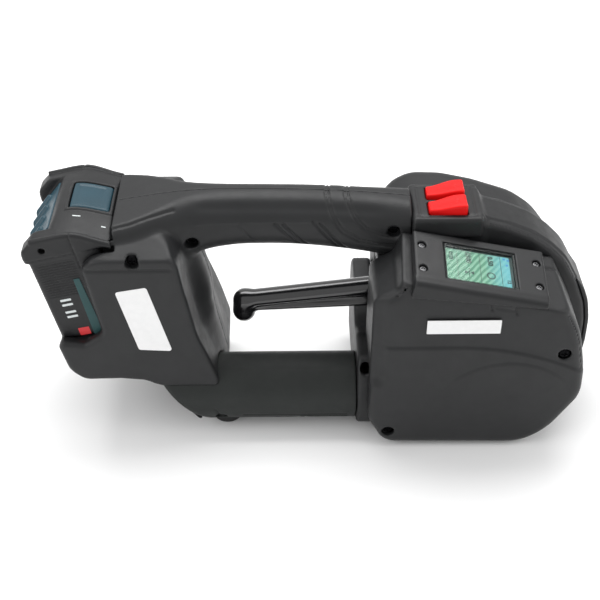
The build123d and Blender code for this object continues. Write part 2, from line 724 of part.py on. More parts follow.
with BuildPart() as control_board:
    board_z = 92.0
    block((-44.0, 34.0), (near_face_y + wall + air, -spine_half - 1.0), (board_z, board_z + 1.6))
    for chip_x in (-32.0, -14.0, 12.0):
        block((chip_x, chip_x + 9.0), (near_face_y + 12.0, near_face_y + 24.0),
              (board_z + 1.6, board_z + 3.4))
control_board.part.label = "control_board"
export_step(control_board.part, "parts/control_board.step")

# ---------------------------------------------------------------------------
# Push buttons and their switches
# ---------------------------------------------------------------------------


def push_button(middle_y):
    """A wedge-shaped key that is higher at the front, on a stem."""
    low_x = button_x - button_length / 2
    high_x = button_x + button_length / 2
    profile = [(low_x, key_low), (high_x, key_low), (high_x, button_top), (high_x - 3.0, button_top),
               (low_x + 3.0, button_top - 3.0), (low_x, button_top - 5.0)]
    slab(profile, middle_y - button_width / 2, middle_y + button_width / 2)
    rod(along_z(button_x, middle_y, stem_low), 2.5, key_low - stem_low)


with BuildPart() as tension_button:
    push_button(-button_y)
tension_button.part.label = "tension_button"
export_step(tension_button.part, "parts/tension_button.step")

with BuildPart() as weld_button:
    push_button(button_y)
weld_button.part.label = "weld_button"
export_step(weld_button.part, "parts/weld_button.step")

switch_top = stem_low - button_stroke - air
with BuildPart() as button_switches:
    for side in (-1, 1):
        block((button_x - 7.0, button_x + 7.0), (side * button_y - 4.0, side * button_y + 4.0),
              (switch_top - 9.0, switch_top))
button_switches.part.label = "button_switches"
export_step(button_switches.part, "parts/button_switches.step")

with BuildPart() as switch_bracket:
    block((head_rear_x + air + wall + hole_fit, button_x + 12.0), (-spine_half + wall, spine_half - wall),
          (switch_top - 11.0, switch_top - 9.0))
switch_bracket.part.label = "switch_bracket"
export_step(switch_bracket.part, "parts/switch_bracket.step")

# ---------------------------------------------------------------------------
# Base plate and chassis
# ---------------------------------------------------------------------------

chassis_near_y = -spine_half + 0.4
chassis_far_y = 44.0
with BuildPart() as base_plate:
    base_points = [(-52.0, 0.0), (62.0, 0.0), (70.0, 2.4), (70.0, base_thick), (-52.0, base_thick)]
    slab(base_points, chassis_near_y, far_face_y - 2.0)
base_plate.part.label = "base_plate"
export_step(base_plate.part, "parts/base_plate.step")

anvil_thick = 0.6
with BuildPart() as anvil_pad:
    block((weld_x - shoe_length / 2, weld_x + shoe_length / 2),
          (weld_shaft_y - shoe_width / 2, weld_shaft_y + shoe_width / 2),
          (base_thick, base_thick + anvil_thick))
anvil_pad.part.label = "anvil_pad"
export_step(anvil_pad.part, "parts/anvil_pad.step")

chassis_points = [(-46.0, base_thick), (60.0, base_thick), (60.0, 64.0), (38.0, 102.0), (-30.0, 102.0),
                  (-46.0, 86.0)]
chassis_far_points = [(-46.0, 15.0), (56.0, 15.0), (58.0, 60.0), (40.0, 92.0), (-30.0, 104.0),
                      (-46.0, 86.0)]
tie_places = [(50.0, 62.0), (22.0, 88.0), (-28.0, 92.0)]
bearing_radius = 9.5
wheel_x = cross_x + (drive_teeth + wheel_teeth) / 2 * gear_module * cos(radians(tension_angle))
wheel_z = motor_z + (drive_teeth + wheel_teeth) / 2 * gear_module * sin(radians(tension_angle))
wheel_radius = wheel_z - base_thick - tension_gap
pinion_lug_x = -34.0
pinion_lug_depth = 6.0

with BuildPart() as chassis_near:
    slab(chassis_points, chassis_near_y, chassis_near_y + plate_thick)
    rod(along_y(cross_x, chassis_near_y, motor_z), bearing_radius + run_fit, plate_thick,
        mode=Mode.SUBTRACT)
    # lug that carries the front bearing of the motor shaft
    ring(along_x(pinion_lug_x, motor_y, motor_z), bearing_radius + 3.0, bearing_radius - 1.5 + run_fit,
         pinion_lug_depth)
    block((pinion_lug_x, pinion_lug_x + pinion_lug_depth), (motor_y + bearing_radius, chassis_near_y),
          (motor_z - 6.0, motor_z + 6.0))
    for screw_x, screw_z, boss_end in cover_screws_xz[1:]:
        rod(along_y(screw_x, chassis_near_y, screw_z), screw_radius + hole_fit, plate_thick,
            mode=Mode.SUBTRACT)
chassis_near.part.label = "chassis_near"
export_step(chassis_near.part, "parts/chassis_near.step")

with BuildPart() as chassis_far:
    slab(chassis_far_points, chassis_far_y, chassis_far_y + plate_thick)
    rod(along_y(cross_x, chassis_far_y, motor_z), bearing_radius + run_fit, plate_thick, mode=Mode.SUBTRACT)
    # arm that carries the front bearing of the weld shaft
    arm_x = weld_x + 15.0
    block((arm_x, arm_x + 6.0), (weld_shaft_y - 11.0, chassis_far_y),
          (weld_shaft_z - 11.0, weld_shaft_z + 11.0))
    rod(along_x(arm_x, weld_shaft_y, weld_shaft_z), bearing_radius - 1.5 + run_fit, 6.0, mode=Mode.SUBTRACT)
chassis_far.part.label = "chassis_far"
export_step(chassis_far.part, "parts/chassis_far.step")

with BuildPart() as tie_bars:
    for tie_x, tie_z in tie_places:
        rod(along_y(tie_x, chassis_near_y + plate_thick, tie_z), 4.0,
            chassis_far_y - chassis_near_y - plate_thick)
tie_bars.part.label = "tie_bars"
export_step(tie_bars.part, "parts/tie_bars.step")

bulkhead_points = [
    (bulkhead_low_y, 12.0), (43.0, 12.0), (43.0, 66.0), (18.0, 66.0), (10.0, 50.0), (-9.0, 43.0),
    (bulkhead_low_y, 42.0),
]
with BuildPart() as rear_bulkhead:
    cross_slab(bulkhead_points, bulkhead_x, bulkhead_x + bulkhead_depth)
    for centre_y, centre_z in ((motor_y, motor_z), (weld_shaft_y, weld_shaft_z)):
        rod(along_x(bulkhead_x, centre_y, centre_z), bearing_radius - 1.5 + run_fit, bulkhead_depth,
            mode=Mode.SUBTRACT)
rear_bulkhead.part.label = "rear_bulkhead"
export_step(rear_bulkhead.part, "parts/rear_bulkhead.step")

with BuildPart() as shaft_bearings:
    small = bearing_radius - 1.5
    for centre_y, centre_z in ((motor_y, motor_z), (weld_shaft_y, weld_shaft_z)):
        ring(along_x(bulkhead_x, centre_y, centre_z), small, shaft_radius + run_fit, bulkhead_depth)
    ring(along_x(pinion_lug_x, motor_y, motor_z), small, shaft_radius + run_fit, pinion_lug_depth)
    ring(along_x(arm_x, weld_shaft_y, weld_shaft_z), small, shaft_radius + run_fit, 6.0)
    ring(along_x(motor_rear_x, motor_y, motor_z), 8.0, shaft_radius + run_fit, 6.0)
    ring(along_x(motor_front_x - 6.0, motor_y, motor_z), 8.0, shaft_radius + run_fit, 6.0)
    for plate_y in (chassis_near_y, chassis_far_y):
        ring(along_y(cross_x, plate_y, motor_z), bearing_radius, cross_radius + run_fit, plate_thick)
shaft_bearings.part.label = "shaft_bearings"
export_step(shaft_bearings.part, "parts/shaft_bearings.step")

with BuildPart() as cover_screws:
    for screw_x, screw_z, boss_end in cover_screws_xz:
        seat_y = near_face_y + recess_depth
        rod(along_y(screw_x, seat_y - head_depth, screw_z), head_radius, head_depth)
        rod(along_y(screw_x, seat_y, screw_z), screw_radius, boss_end - seat_y - 0.2)
cover_screws.part.label = "cover_screws"
export_step(cover_screws.part, "parts/cover_screws.step")

# ---------------------------------------------------------------------------
# Gears
# ---------------------------------------------------------------------------

pressure = radians(20)
cone_length = gear_module / 2 * sqrt(bevel_pinion_teeth ** 2 + bevel_gear_teeth ** 2)


def involute(angle):
    """The involute function of an angle in radians."""
    return tan(angle) - angle


def tooth_half_width(radius, teeth, module, play):
    """Half the angle that one tooth covers at a radius."""
    pitch_radius = teeth * module / 2
    base_radius = pitch_radius * cos(pressure)
    reach_angle = acos(min(1.0, base_radius / max(radius, base_radius)))
    return pi / (2 * teeth) + involute(pressure) - involute(reach_angle) - play / (4 * pitch_radius)


def spur_points(teeth, module, play, start):
    """The outline of a spur gear, with four radii on each flank."""
    pitch_radius = teeth * module / 2
    radii = [pitch_radius - 1.25 * module, pitch_radius - 0.5 * module, pitch_radius,
             pitch_radius + 0.5 * module,
             pitch_radius + 0.9 * module]
    points = []
    for tooth in range(teeth):
        middle = start + 2 * pi * tooth / teeth
        for radius in radii:
            angle = middle - tooth_half_width(radius, teeth, module, play)
            points.append((radius * cos(angle), radius * sin(angle)))
        for radius in reversed(radii):
            angle = middle + tooth_half_width(radius, teeth, module, play)
            points.append((radius * cos(angle), radius * sin(angle)))
    return points


def spur_gear(plane, teeth, module, width, bore, start):
    """A spur gear that stands on a plane."""
    with BuildSketch(plane) as section:
        with BuildLine():
            Polyline(*spur_points(teeth, module, backlash, start), close=True)
        make_face()
        Circle(bore, mode=Mode.SUBTRACT)
    extrude(section.sketch, amount=width)


def bevel_tooth(cone, teeth, start):
    """One straight bevel tooth; its apex is the origin and its axis is +Z."""
    virtual = teeth / cos(cone)
    virtual_radius = virtual * gear_module / 2
    heights = [-1.35 * gear_module, 0.0, 0.9 * gear_module]
    flank = []
    for height in heights:
        radius = virtual_radius + height
        flank.append((radius * tooth_half_width(radius, virtual, gear_module, backlash), height))
    profile = [(-w, h) for w, h in flank] + [(w, h) for w, h in reversed(flank)]
    ends = []
    for share in (1.0, (cone_length - bevel_face) / cone_length):
        out = cone_length * share
        origin = (out * sin(cone) * cos(start), out * sin(cone) * sin(start), out * cos(cone))
        across = (-sin(start), cos(start), 0)
        outward = (sin(cone) * cos(start), sin(cone) * sin(start), cos(cone))
        place = Plane(origin=origin, x_dir=across, z_dir=outward)
        up = 1 if place.y_dir.Z < 0 else -1
        ends.append(outline(place, [(w * share, up * h * share) for w, h in profile]))
    loft(ends, ruled=True)


def bevel_gear_body(cone, teeth, bore, hub):
    """A bevel gear with its apex at the origin and its teeth round +Z."""
    root = 1.2 * gear_module
    far_r = cone_length * sin(cone) - root * cos(cone)
    far_z = cone_length * cos(cone) + root * sin(cone)
    share = (cone_length - bevel_face) / cone_length
    near_r = far_r * share
    near_z = far_z * share
    with BuildSketch(Plane.XZ) as section:
        with BuildLine():
            Polyline((bore, near_z), (near_r, near_z), (far_r, far_z), (far_r, far_z + hub),
                     (bore, far_z + hub),
                     close=True)
        make_face()
    revolve(section.sketch, axis=Axis.Z)
    for tooth in range(teeth):
        bevel_tooth(cone, teeth, 2 * pi * tooth / teeth)


pinion_cone = atan2(bevel_pinion_teeth, bevel_gear_teeth)
gear_cone = pi / 2 - pinion_cone

with BuildPart() as pinion_form:
    bevel_gear_body(pinion_cone, bevel_pinion_teeth, shaft_radius, 3.0)
with BuildPart() as gear_form:
    bevel_gear_body(gear_cone, bevel_gear_teeth, cross_radius, 1.6)

# the pinion's axis runs back along -X from the apex, the gear's along +Y
pinion_place = Plane(origin=(cross_x, motor_y, motor_z), x_dir=(0, 1, 0), z_dir=(-1, 0, 0))
gear_turn = pi / bevel_gear_teeth
gear_place = Plane(origin=(cross_x, motor_y, motor_z), x_dir=(-cos(gear_turn), 0, sin(gear_turn)),
                   z_dir=(0, 1, 0))

with BuildPart() as bevel_pinion:
    add(pinion_place.location * pinion_form.part)
bevel_pinion.part.label = "bevel_pinion"
export_step(bevel_pinion.part, "parts/bevel_pinion.step")

with BuildPart() as bevel_gear:
    add(gear_place.location * gear_form.part)
bevel_gear.part.label = "bevel_gear"
export_step(bevel_gear.part, "parts/bevel_gear.step")

with BuildPart() as motor_shaft:
    rod(along_x(motor_rear_x - 2.0, motor_y, motor_z), shaft_radius, cross_x - 8.6 - motor_rear_x + 2.0)
motor_shaft.part.label = "motor_shaft"
export_step(motor_shaft.part, "parts/motor_shaft.step")

with BuildPart() as cross_shaft:
    rod(along_y(cross_x, motor_y + 5.6, motor_z), cross_radius,
        chassis_far_y + plate_thick + 1.0 - motor_y - 5.6)
cross_shaft.part.label = "cross_shaft"
export_step(cross_shaft.part, "parts/cross_shaft.step")

gear_y = -2.0
centre_line = radians(tension_angle)
with BuildPart() as drive_pinion:
    spur_gear(along_y(cross_x, gear_y, motor_z), drive_teeth, gear_module, gear_width,
              cross_radius + run_fit,
              -centre_line)
drive_pinion.part.label = "drive_pinion"
export_step(drive_pinion.part, "parts/drive_pinion.step")

with BuildPart() as wheel_gear:
    spur_gear(along_y(wheel_x, gear_y, wheel_z), wheel_teeth, gear_module, gear_width,
              axle_radius + run_fit,
              pi - centre_line + pi / wheel_teeth)
    ring(along_y(wheel_x, gear_y + gear_width, wheel_z), 7.0, axle_radius + run_fit, 11.6)
wheel_gear.part.label = "wheel_gear"
export_step(wheel_gear.part, "parts/wheel_gear.step")

wheel_y = gear_y + gear_width + 11.6
with BuildPart() as tension_wheel:
    with BuildSketch(along_y(wheel_x, wheel_y, wheel_z)) as tread:
        Circle(wheel_radius)
        with PolarLocations(wheel_radius, 60):
            Circle(0.45, mode=Mode.SUBTRACT)
        Circle(axle_radius + run_fit, mode=Mode.SUBTRACT)
    extrude(tread.sketch, amount=tension_width)
tension_wheel.part.label = "tension_wheel"
export_step(tension_wheel.part, "parts/tension_wheel.step")

# ---------------------------------------------------------------------------
# Rocker that lifts the tension wheel
# ---------------------------------------------------------------------------

cheek_y = -9.0
cheek_thick = 6.0
cheek_points = [
    (cross_x - 10.0, motor_z - 8.0), (cross_x + 8.0, motor_z - 10.0), (wheel_x + 7.0, wheel_z - 8.0),
    (wheel_x + 8.0, wheel_z + 8.0), (cross_x + 24.0, motor_z + 16.0), (cross_x, motor_z + 22.0),
    (cross_x - 19.0, motor_z + 44.0), (cross_x - 27.0, motor_z + 42.0),
]
outer_cheek_points = [
    (cross_x - 10.0, motor_z - 8.0), (cross_x + 8.0, motor_z - 10.0), (wheel_x + 9.0, wheel_z - 9.0),
    (wheel_x + 9.0, wheel_z + 9.0), (cross_x, motor_z + 20.0), (cross_x - 10.0, motor_z + 14.0),
]
outer_cheek_y = gear_y + gear_width + 1.0
with BuildPart() as rocker_arm:
    slab(cheek_points, cheek_y, cheek_y + cheek_thick, corner=2.0)
    slab(outer_cheek_points, outer_cheek_y, outer_cheek_y + 5.0)
    # bridge above the gears
    block((cross_x - 4.0, cross_x + 12.0), (cheek_y + cheek_thick - 1.0, outer_cheek_y + 1.0),
          (motor_z + 16.2, motor_z + 19.0))
    rod(along_y(cross_x, cheek_y, motor_z), cross_radius + run_fit, 40.0, mode=Mode.SUBTRACT)
    rod(along_y(wheel_x, cheek_y, wheel_z), axle_radius + run_fit, cheek_thick, mode=Mode.SUBTRACT)
    rod(along_y(wheel_x, outer_cheek_y, wheel_z), 7.0 + run_fit, 5.0, mode=Mode.SUBTRACT)
rocker_arm.part.label = "rocker_arm"
export_step(rocker_arm.part, "parts/rocker_arm.step")

with BuildPart() as wheel_axle:
    rod(along_y(wheel_x, cheek_y, wheel_z), axle_radius, wheel_y + tension_width + 1.4 - cheek_y)
    rod(along_y(wheel_x, wheel_y + tension_width + 0.3, wheel_z), 7.0, 2.0)
wheel_axle.part.label = "wheel_axle"
export_step(wheel_axle.part, "parts/wheel_axle.step")

spring_x = cross_x + 4.0
spring_y = 3.0
spring_radius = 3.6
wire_radius = 0.6
spring_low = motor_z + 19.0
spring_high = 88.0 - 4.0
with BuildPart() as spring_seat:
    block((spring_x - 8.0, spring_x + 8.0), (chassis_near_y + plate_thick, spring_y + 8.0),
          (spring_high - 22.0, spring_high - 18.0))
spring_seat.part.label = "spring_seat"
export_step(spring_seat.part, "parts/spring_seat.step")

with BuildPart() as rocker_spring:
    turn_height = spring_high - 22.0 - spring_low - 2 * wire_radius - 0.2
    with BuildLine(Plane.XY.offset(spring_low + wire_radius + 0.1)) as coil:
        with Locations((spring_x, spring_y)):
            Helix(pitch=3.0, height=turn_height, radius=spring_radius)
    wire_start = coil.edges()[0]
    with BuildSketch(Plane(origin=wire_start @ 0, z_dir=wire_start % 0)) as wire:
        Circle(wire_radius)
    sweep(wire.sketch, path=coil.line, is_frenet=True)
rocker_spring.part.label = "rocker_spring"
export_step(rocker_spring.part, "parts/rocker_spring.step")

# ---------------------------------------------------------------------------
# Weld unit and cutter
# ---------------------------------------------------------------------------

with BuildPart() as weld_shaft:
    shaft_start = belt_x - 0.6
    rod(along_x(shaft_start, weld_shaft_y, weld_shaft_z), shaft_radius, arm_x + 7.0 - shaft_start)
    rod(along_x(weld_x - 4.0, weld_shaft_y, weld_shaft_z + eccentric), journal_radius, 8.0)
weld_shaft.part.label = "weld_shaft"
export_step(weld_shaft.part, "parts/weld_shaft.step")

shoe_low = base_thick + anvil_thick + press_travel + 0.2
yoke_room = journal_radius + eccentric + shoe_travel + 0.4
with BuildPart() as weld_shoe:
    block((weld_x - shoe_length / 2, weld_x + shoe_length / 2),
          (weld_shaft_y - shoe_width / 2, weld_shaft_y + shoe_width / 2), (shoe_low, shoe_low + 5.0))
    # yoke round the eccentric journal
    block((weld_x - 3.0, weld_x + 3.0), (weld_shaft_y - 11.0, weld_shaft_y + 11.0),
          (28.0, weld_shaft_z + 15.0), 0)
    block((weld_x - 3.0, weld_x + 3.0), (weld_shaft_y - 5.0, weld_shaft_y + 5.0), (shoe_low + 5.0, 28.0))
    with BuildSketch(along_x(weld_x - 3.0, weld_shaft_y, weld_shaft_z + press_travel / 2)) as yoke:
        SlotCenterToCenter(press_travel + 2.0, 2 * yoke_room, rotation=90)
    extrude(yoke.sketch, amount=6.0, mode=Mode.SUBTRACT)
    # gripping grooves across the sole
    for groove in range(6):
        groove_x = weld_x - shoe_length / 2 + 1.6 + groove * 2.2
        block((groove_x, groove_x + 0.8), (weld_shaft_y - shoe_width, weld_shaft_y + shoe_width),
              (shoe_low, shoe_low + 0.5), mode=Mode.SUBTRACT)
weld_shoe.part.label = "weld_shoe"
export_step(weld_shoe.part, "parts/weld_shoe.step")

press_low = shoe_low + 5.0 + air
press_y = 11.0
post_places = [(weld_x - 9.0, press_y + 3.5), (weld_x + 9.0, press_y + 3.5)]
post_radius = 2.0
with BuildPart() as weld_press:
    block((weld_x - 12.0, weld_x + 12.0), (press_y, 42.0), (press_low, press_low + 10.0))
    block((weld_x - 3.0 - slip, weld_x + 3.0 + slip),
          (weld_shaft_y - 5.0 - shoe_travel - slip, weld_shaft_y + 5.0 + shoe_travel + slip),
          (press_low - 1.0, press_low + 12.0), mode=Mode.SUBTRACT)
    for post_x, post_y in post_places:
        rod(along_z(post_x, post_y, press_low), post_radius + run_fit, 10.0, mode=Mode.SUBTRACT)
weld_press.part.label = "weld_press"
export_step(weld_press.part, "parts/weld_press.step")

with BuildPart() as press_posts:
    for post_x, post_y in post_places:
        rod(along_z(post_x, post_y, base_thick), post_radius, 34.0)
press_posts.part.label = "press_posts"
export_step(press_posts.part, "parts/press_posts.step")

with BuildPart() as cutter_blade:
    blade_x = weld_x + 12.0
    blade_points = [(blade_x, shoe_low), (blade_x + 1.6, shoe_low + 1.6), (blade_x + 1.6, press_low + 9.0),
                    (blade_x, press_low + 9.0)]
    slab(blade_points, weld_shaft_y - shoe_width / 2, weld_shaft_y + shoe_width / 2)
cutter_blade.part.label = "cutter_blade"
export_step(cutter_blade.part, "parts/cutter_blade.step")

with BuildPart() as strap_guides:
    for guide_x in (-50.0, 62.0):
        block((guide_x, guide_x + 6.0), (strap_stop_y - 4.0, strap_stop_y), (base_thick, base_thick + 3.4))
strap_guides.part.label = "strap_guides"
export_step(strap_guides.part, "parts/strap_guides.step")

# ---------------------------------------------------------------------------
# Lever and its pin
# ---------------------------------------------------------------------------

tip_x = lever_x - lever_length
lever_points = [
    (tip_x, 62.0), (tip_x + 1.0, 71.0), (tip_x + 4.0, 74.6), (tip_x + 20.0, 76.8), (tip_x + 40.0, 79.4),
    (tip_x + 65.0, 82.6), (lever_x - 12.6, 84.6), (lever_x, lever_z + 6.0), (lever_x + 7.0, lever_z),
    (lever_x, lever_z - 6.0), (lever_x - 12.0, 66.0), (tip_x + 65.0, 65.4), (tip_x + 40.0, 65.0),
    (tip_x + 14.0, 61.6), (tip_x + 9.5, 56.0), (tip_x + 5.0, 53.6), (tip_x + 1.0, 56.0),
]
with BuildPart() as lever:
    slab(lever_points, -lever_half, lever_half, corner=0.8)
    rod(along_y(lever_x, -lever_half, lever_z), pin_radius + run_fit, 2 * lever_half, mode=Mode.SUBTRACT)
    for side in (-1, 1):
        # the web between the rim and the rib is thinner
        pocket = [(tip_x + 22.0, 72.6), (tip_x + 40.0, 75.0), (lever_x - 14.0, 78.6), (lever_x - 14.0, 70.5),
                  (tip_x + 40.0, 68.6), (tip_x + 22.0, 66.4)]
        slab(pocket, *sorted((side * (lever_half - 2.0), side * lever_half)), mode=Mode.SUBTRACT)
lever.part.label = "lever"
export_step(lever.part, "parts/lever.step")

with BuildPart() as lever_pin:
    rod(along_y(lever_x, chassis_near_y + plate_thick, lever_z), pin_radius,
        chassis_far_y - chassis_near_y - plate_thick)
lever_pin.part.label = "lever_pin"
export_step(lever_pin.part, "parts/lever_pin.step")

# ---------------------------------------------------------------------------
# Blank label plates
# ---------------------------------------------------------------------------

label_thick = 0.3
with BuildPart() as cover_label:
    block((-29.0, 13.0), (near_face_y - label_thick, near_face_y), (91.0, 101.6))
cover_label.part.label = "cover_label"
export_step(cover_label.part, "parts/cover_label.step")

with BuildPart() as dock_label:
    label_points = [(dock_x - 36.5, 109.7), (dock_x - 19.5, 111.2), (dock_x - 10.0, 67.2),
                    (dock_x - 26.5, 67.2)]
    slab(label_points, -dock_half - label_thick, -dock_half)
dock_label.part.label = "dock_label"
export_step(dock_label.part, "parts/dock_label.step")
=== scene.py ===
import json
import math
from functools import reduce
import bmesh
import bpy
import numpy as np
from mathutils import Matrix, Vector


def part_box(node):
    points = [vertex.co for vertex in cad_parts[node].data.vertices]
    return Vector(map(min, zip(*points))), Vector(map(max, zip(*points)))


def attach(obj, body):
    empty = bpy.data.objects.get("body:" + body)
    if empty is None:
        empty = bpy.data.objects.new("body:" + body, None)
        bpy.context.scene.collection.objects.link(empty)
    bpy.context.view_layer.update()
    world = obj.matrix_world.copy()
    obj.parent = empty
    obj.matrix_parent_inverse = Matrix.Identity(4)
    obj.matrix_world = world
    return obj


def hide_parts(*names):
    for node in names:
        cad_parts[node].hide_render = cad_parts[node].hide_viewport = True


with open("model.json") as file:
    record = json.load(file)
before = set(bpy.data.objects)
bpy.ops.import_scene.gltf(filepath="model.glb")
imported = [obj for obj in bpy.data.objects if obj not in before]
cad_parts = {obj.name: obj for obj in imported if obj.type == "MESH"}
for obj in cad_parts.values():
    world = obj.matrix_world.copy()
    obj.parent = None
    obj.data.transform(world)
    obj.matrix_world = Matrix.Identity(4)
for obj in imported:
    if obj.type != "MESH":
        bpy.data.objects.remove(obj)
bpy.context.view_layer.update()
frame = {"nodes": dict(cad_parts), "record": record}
MM = 0.001
FAR = 50.0


def node_box(node):
    """A CAD node's corners in millimetres."""
    low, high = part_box(node)
    return np.array(low) / MM, np.array(high) / MM


# ---- Distance fields ----
# Every field takes points in millimetres, (N, 3), and gives the distance to a surface, negative inside.

def soft_min(a, b, k):
    h = np.clip(0.5 + 0.5 * (b - a) / k, 0, 1)
    return b + (a - b) * h - k * h * (1 - h)


def soft_max(a, b, k):
    return -soft_min(-a, -b, k)


def common(*fields):
    """The space that all the fields share."""
    return reduce(np.maximum, fields)


def union(*fields):
    """The space that any of the fields covers."""
    return reduce(np.minimum, fields)


def cut(d, solid, k=0.0):
    """Takes a solid away, with a rim of softness k."""
    return soft_max(d, -solid, k) if k else np.maximum(d, -solid)


def ridge(distance, height, width):
    """A bump in a surface along the places where a distance is zero."""
    return height * np.exp(-((distance / width) ** 2))


def ease(v):
    v = np.clip(v, 0, 1)
    return v * v * (3 - 2 * v)


def curve(xs, ys, samples=400):
    """A smooth function through points, as a dense table."""
    xs = np.array(xs, float)
    ys = np.array(ys, float)
    slopes = np.gradient(ys, xs)
    fine = np.linspace(xs[0], xs[-1], samples)
    i = np.clip(np.searchsorted(xs, fine) - 1, 0, len(xs) - 2)
    h = xs[i + 1] - xs[i]
    t = (fine - xs[i]) / h
    table = ((2 * t**3 - 3 * t**2 + 1) * ys[i] + (t**3 - 2 * t**2 + t) * h * slopes[i]
             + (3 * t**2 - 2 * t**3) * ys[i + 1] + (t**3 - t**2) * h * slopes[i + 1])
    return lambda x: np.interp(x, fine, table)


def round_corners(points, radius, steps=7):
    """A closed outline whose corners become arcs."""
    pts = [np.array(p, float) for p in points]
    radii = radius if isinstance(radius, (list, tuple)) else [radius] * len(pts)
    out = []
    for i, corner in enumerate(pts):
        before, after = pts[i - 1], pts[(i + 1) % len(pts)]
        u = (before - corner) / np.linalg.norm(before - corner)
        v = (after - corner) / np.linalg.norm(after - corner)
        half = math.acos(float(np.clip(u @ v, -1, 1))) / 2
        if half > 1.55 or radii[i] <= 0:
            out.append(corner)
            continue
        room = 0.49 * min(np.linalg.norm(before - corner), np.linalg.norm(after - corner))
        back = min(radii[i] / math.tan(half), room)
        r = back * math.tan(half)
        middle = (u + v) / np.linalg.norm(u + v)
        centre = corner + middle * r / math.sin(half)
        a, b = corner + u * back - centre, corner + v * back - centre
        for s in np.linspace(0, 1, steps):
            d = a * (1 - s) + b * s
            out.append(centre + d / np.linalg.norm(d) * r)
    return np.array(out)


def line_distance(u, v, a, b):
    """Distance in a plane to the segment from a to b."""
    px, pz = u - a[0], v - a[1]
    bx, bz = b[0] - a[0], b[1] - a[1]
    h = np.clip((px * bx + pz * bz) / (bx * bx + bz * bz + 1e-9), 0, 1)
    return np.hypot(px - bx * h, pz - bz * h)


def path_distance(u, v, path):
    """Distance in a plane to an open line of points."""
    best = np.full(u.shape, 1e9)
    for a, b in zip(path[:-1], path[1:]):
        best = np.minimum(best, line_distance(u, v, a, b))
    return best


class Outline:
    """Distance to a closed outline in a plane, looked up on a fine grid."""

    def __init__(self, points, radius=0.0, pitch=0.5, margin=8.0):
        pts = round_corners(points, radius)
        self.points = pts
        self.low = pts.min(0) - margin
        self.pitch = pitch
        size = np.ceil((pts.max(0) + margin - self.low) / pitch).astype(int) + 1
        u, v = np.meshgrid(*[self.low[k] + pitch * np.arange(size[k]) for k in (0, 1)], indexing="ij")
        best = np.full(u.shape, 1e9)
        inside = np.zeros(u.shape, bool)
        for a, b in zip(pts, np.roll(pts, -1, 0)):
            best = np.minimum(best, line_distance(u, v, a, b))
            crosses = (a[1] > v) != (b[1] > v)
            with np.errstate(divide="ignore", invalid="ignore"):
                edge = (b[0] - a[0]) * (v - a[1]) / (b[1] - a[1]) + a[0]
            inside ^= crosses & (u < edge)
        self.grid = np.where(inside, -best, best)

    def __call__(self, u, v):
        top = np.array(self.grid.shape) - 1.001
        i = np.clip((u - self.low[0]) / self.pitch, 0, top[0])
        j = np.clip((v - self.low[1]) / self.pitch, 0, top[1])
        over = np.hypot((u - self.low[0]) / self.pitch - i, (v - self.low[1]) / self.pitch - j) * self.pitch
        a, b = i.astype(int), j.astype(int)
        s, t = i - a, j - b
        g = self.grid
        value = (g[a, b] * (1 - s) * (1 - t) + g[a + 1, b] * s * (1 - t) + g[a, b + 1] * (1 - s) * t
                 + g[a + 1, b + 1] * s * t)
        return value + over


def extruded(flat, along, low, high, edge):
    """An outline's distance carried along an axis, with rounded rims."""
    side = flat + edge
    cap = np.abs(along - (low + high) / 2) - (high - low) / 2 + edge
    return np.minimum(np.maximum(side, cap), 0) + np.hypot(np.maximum(side, 0), np.maximum(cap, 0)) - edge


def box_field(u, v, w, low, high, edge):
    """A rounded box in three coordinates."""
    q = [np.abs(c - (a + b) / 2) - (b - a) / 2 + edge for c, a, b in zip((u, v, w), low, high)]
    out = np.sqrt(sum(np.maximum(c, 0) ** 2 for c in q))
    return out + np.minimum(common(*q), 0) - edge


def capsule(p, a, b, ra, rb=None):
    """A rod with round ends whose radius runs from ra to rb."""
    a, b = np.array(a, float), np.array(b, float)
    rb = ra if rb is None else rb
    h = np.clip((p - a) @ (b - a) / ((b - a) @ (b - a)), 0, 1)
    return np.linalg.norm(p - a - h[:, None] * (b - a), axis=1) - (ra + (rb - ra) * h)


def bore_y(p, x, z, y_low, y_high, radius):
    """A cylinder along Y."""
    d = np.hypot(p[:, 0] - x, p[:, 2] - z) - radius
    return np.maximum(d, np.abs(p[:, 1] - (y_low + y_high) / 2) - (y_high - y_low) / 2)


# ---- From a field to a mesh ----

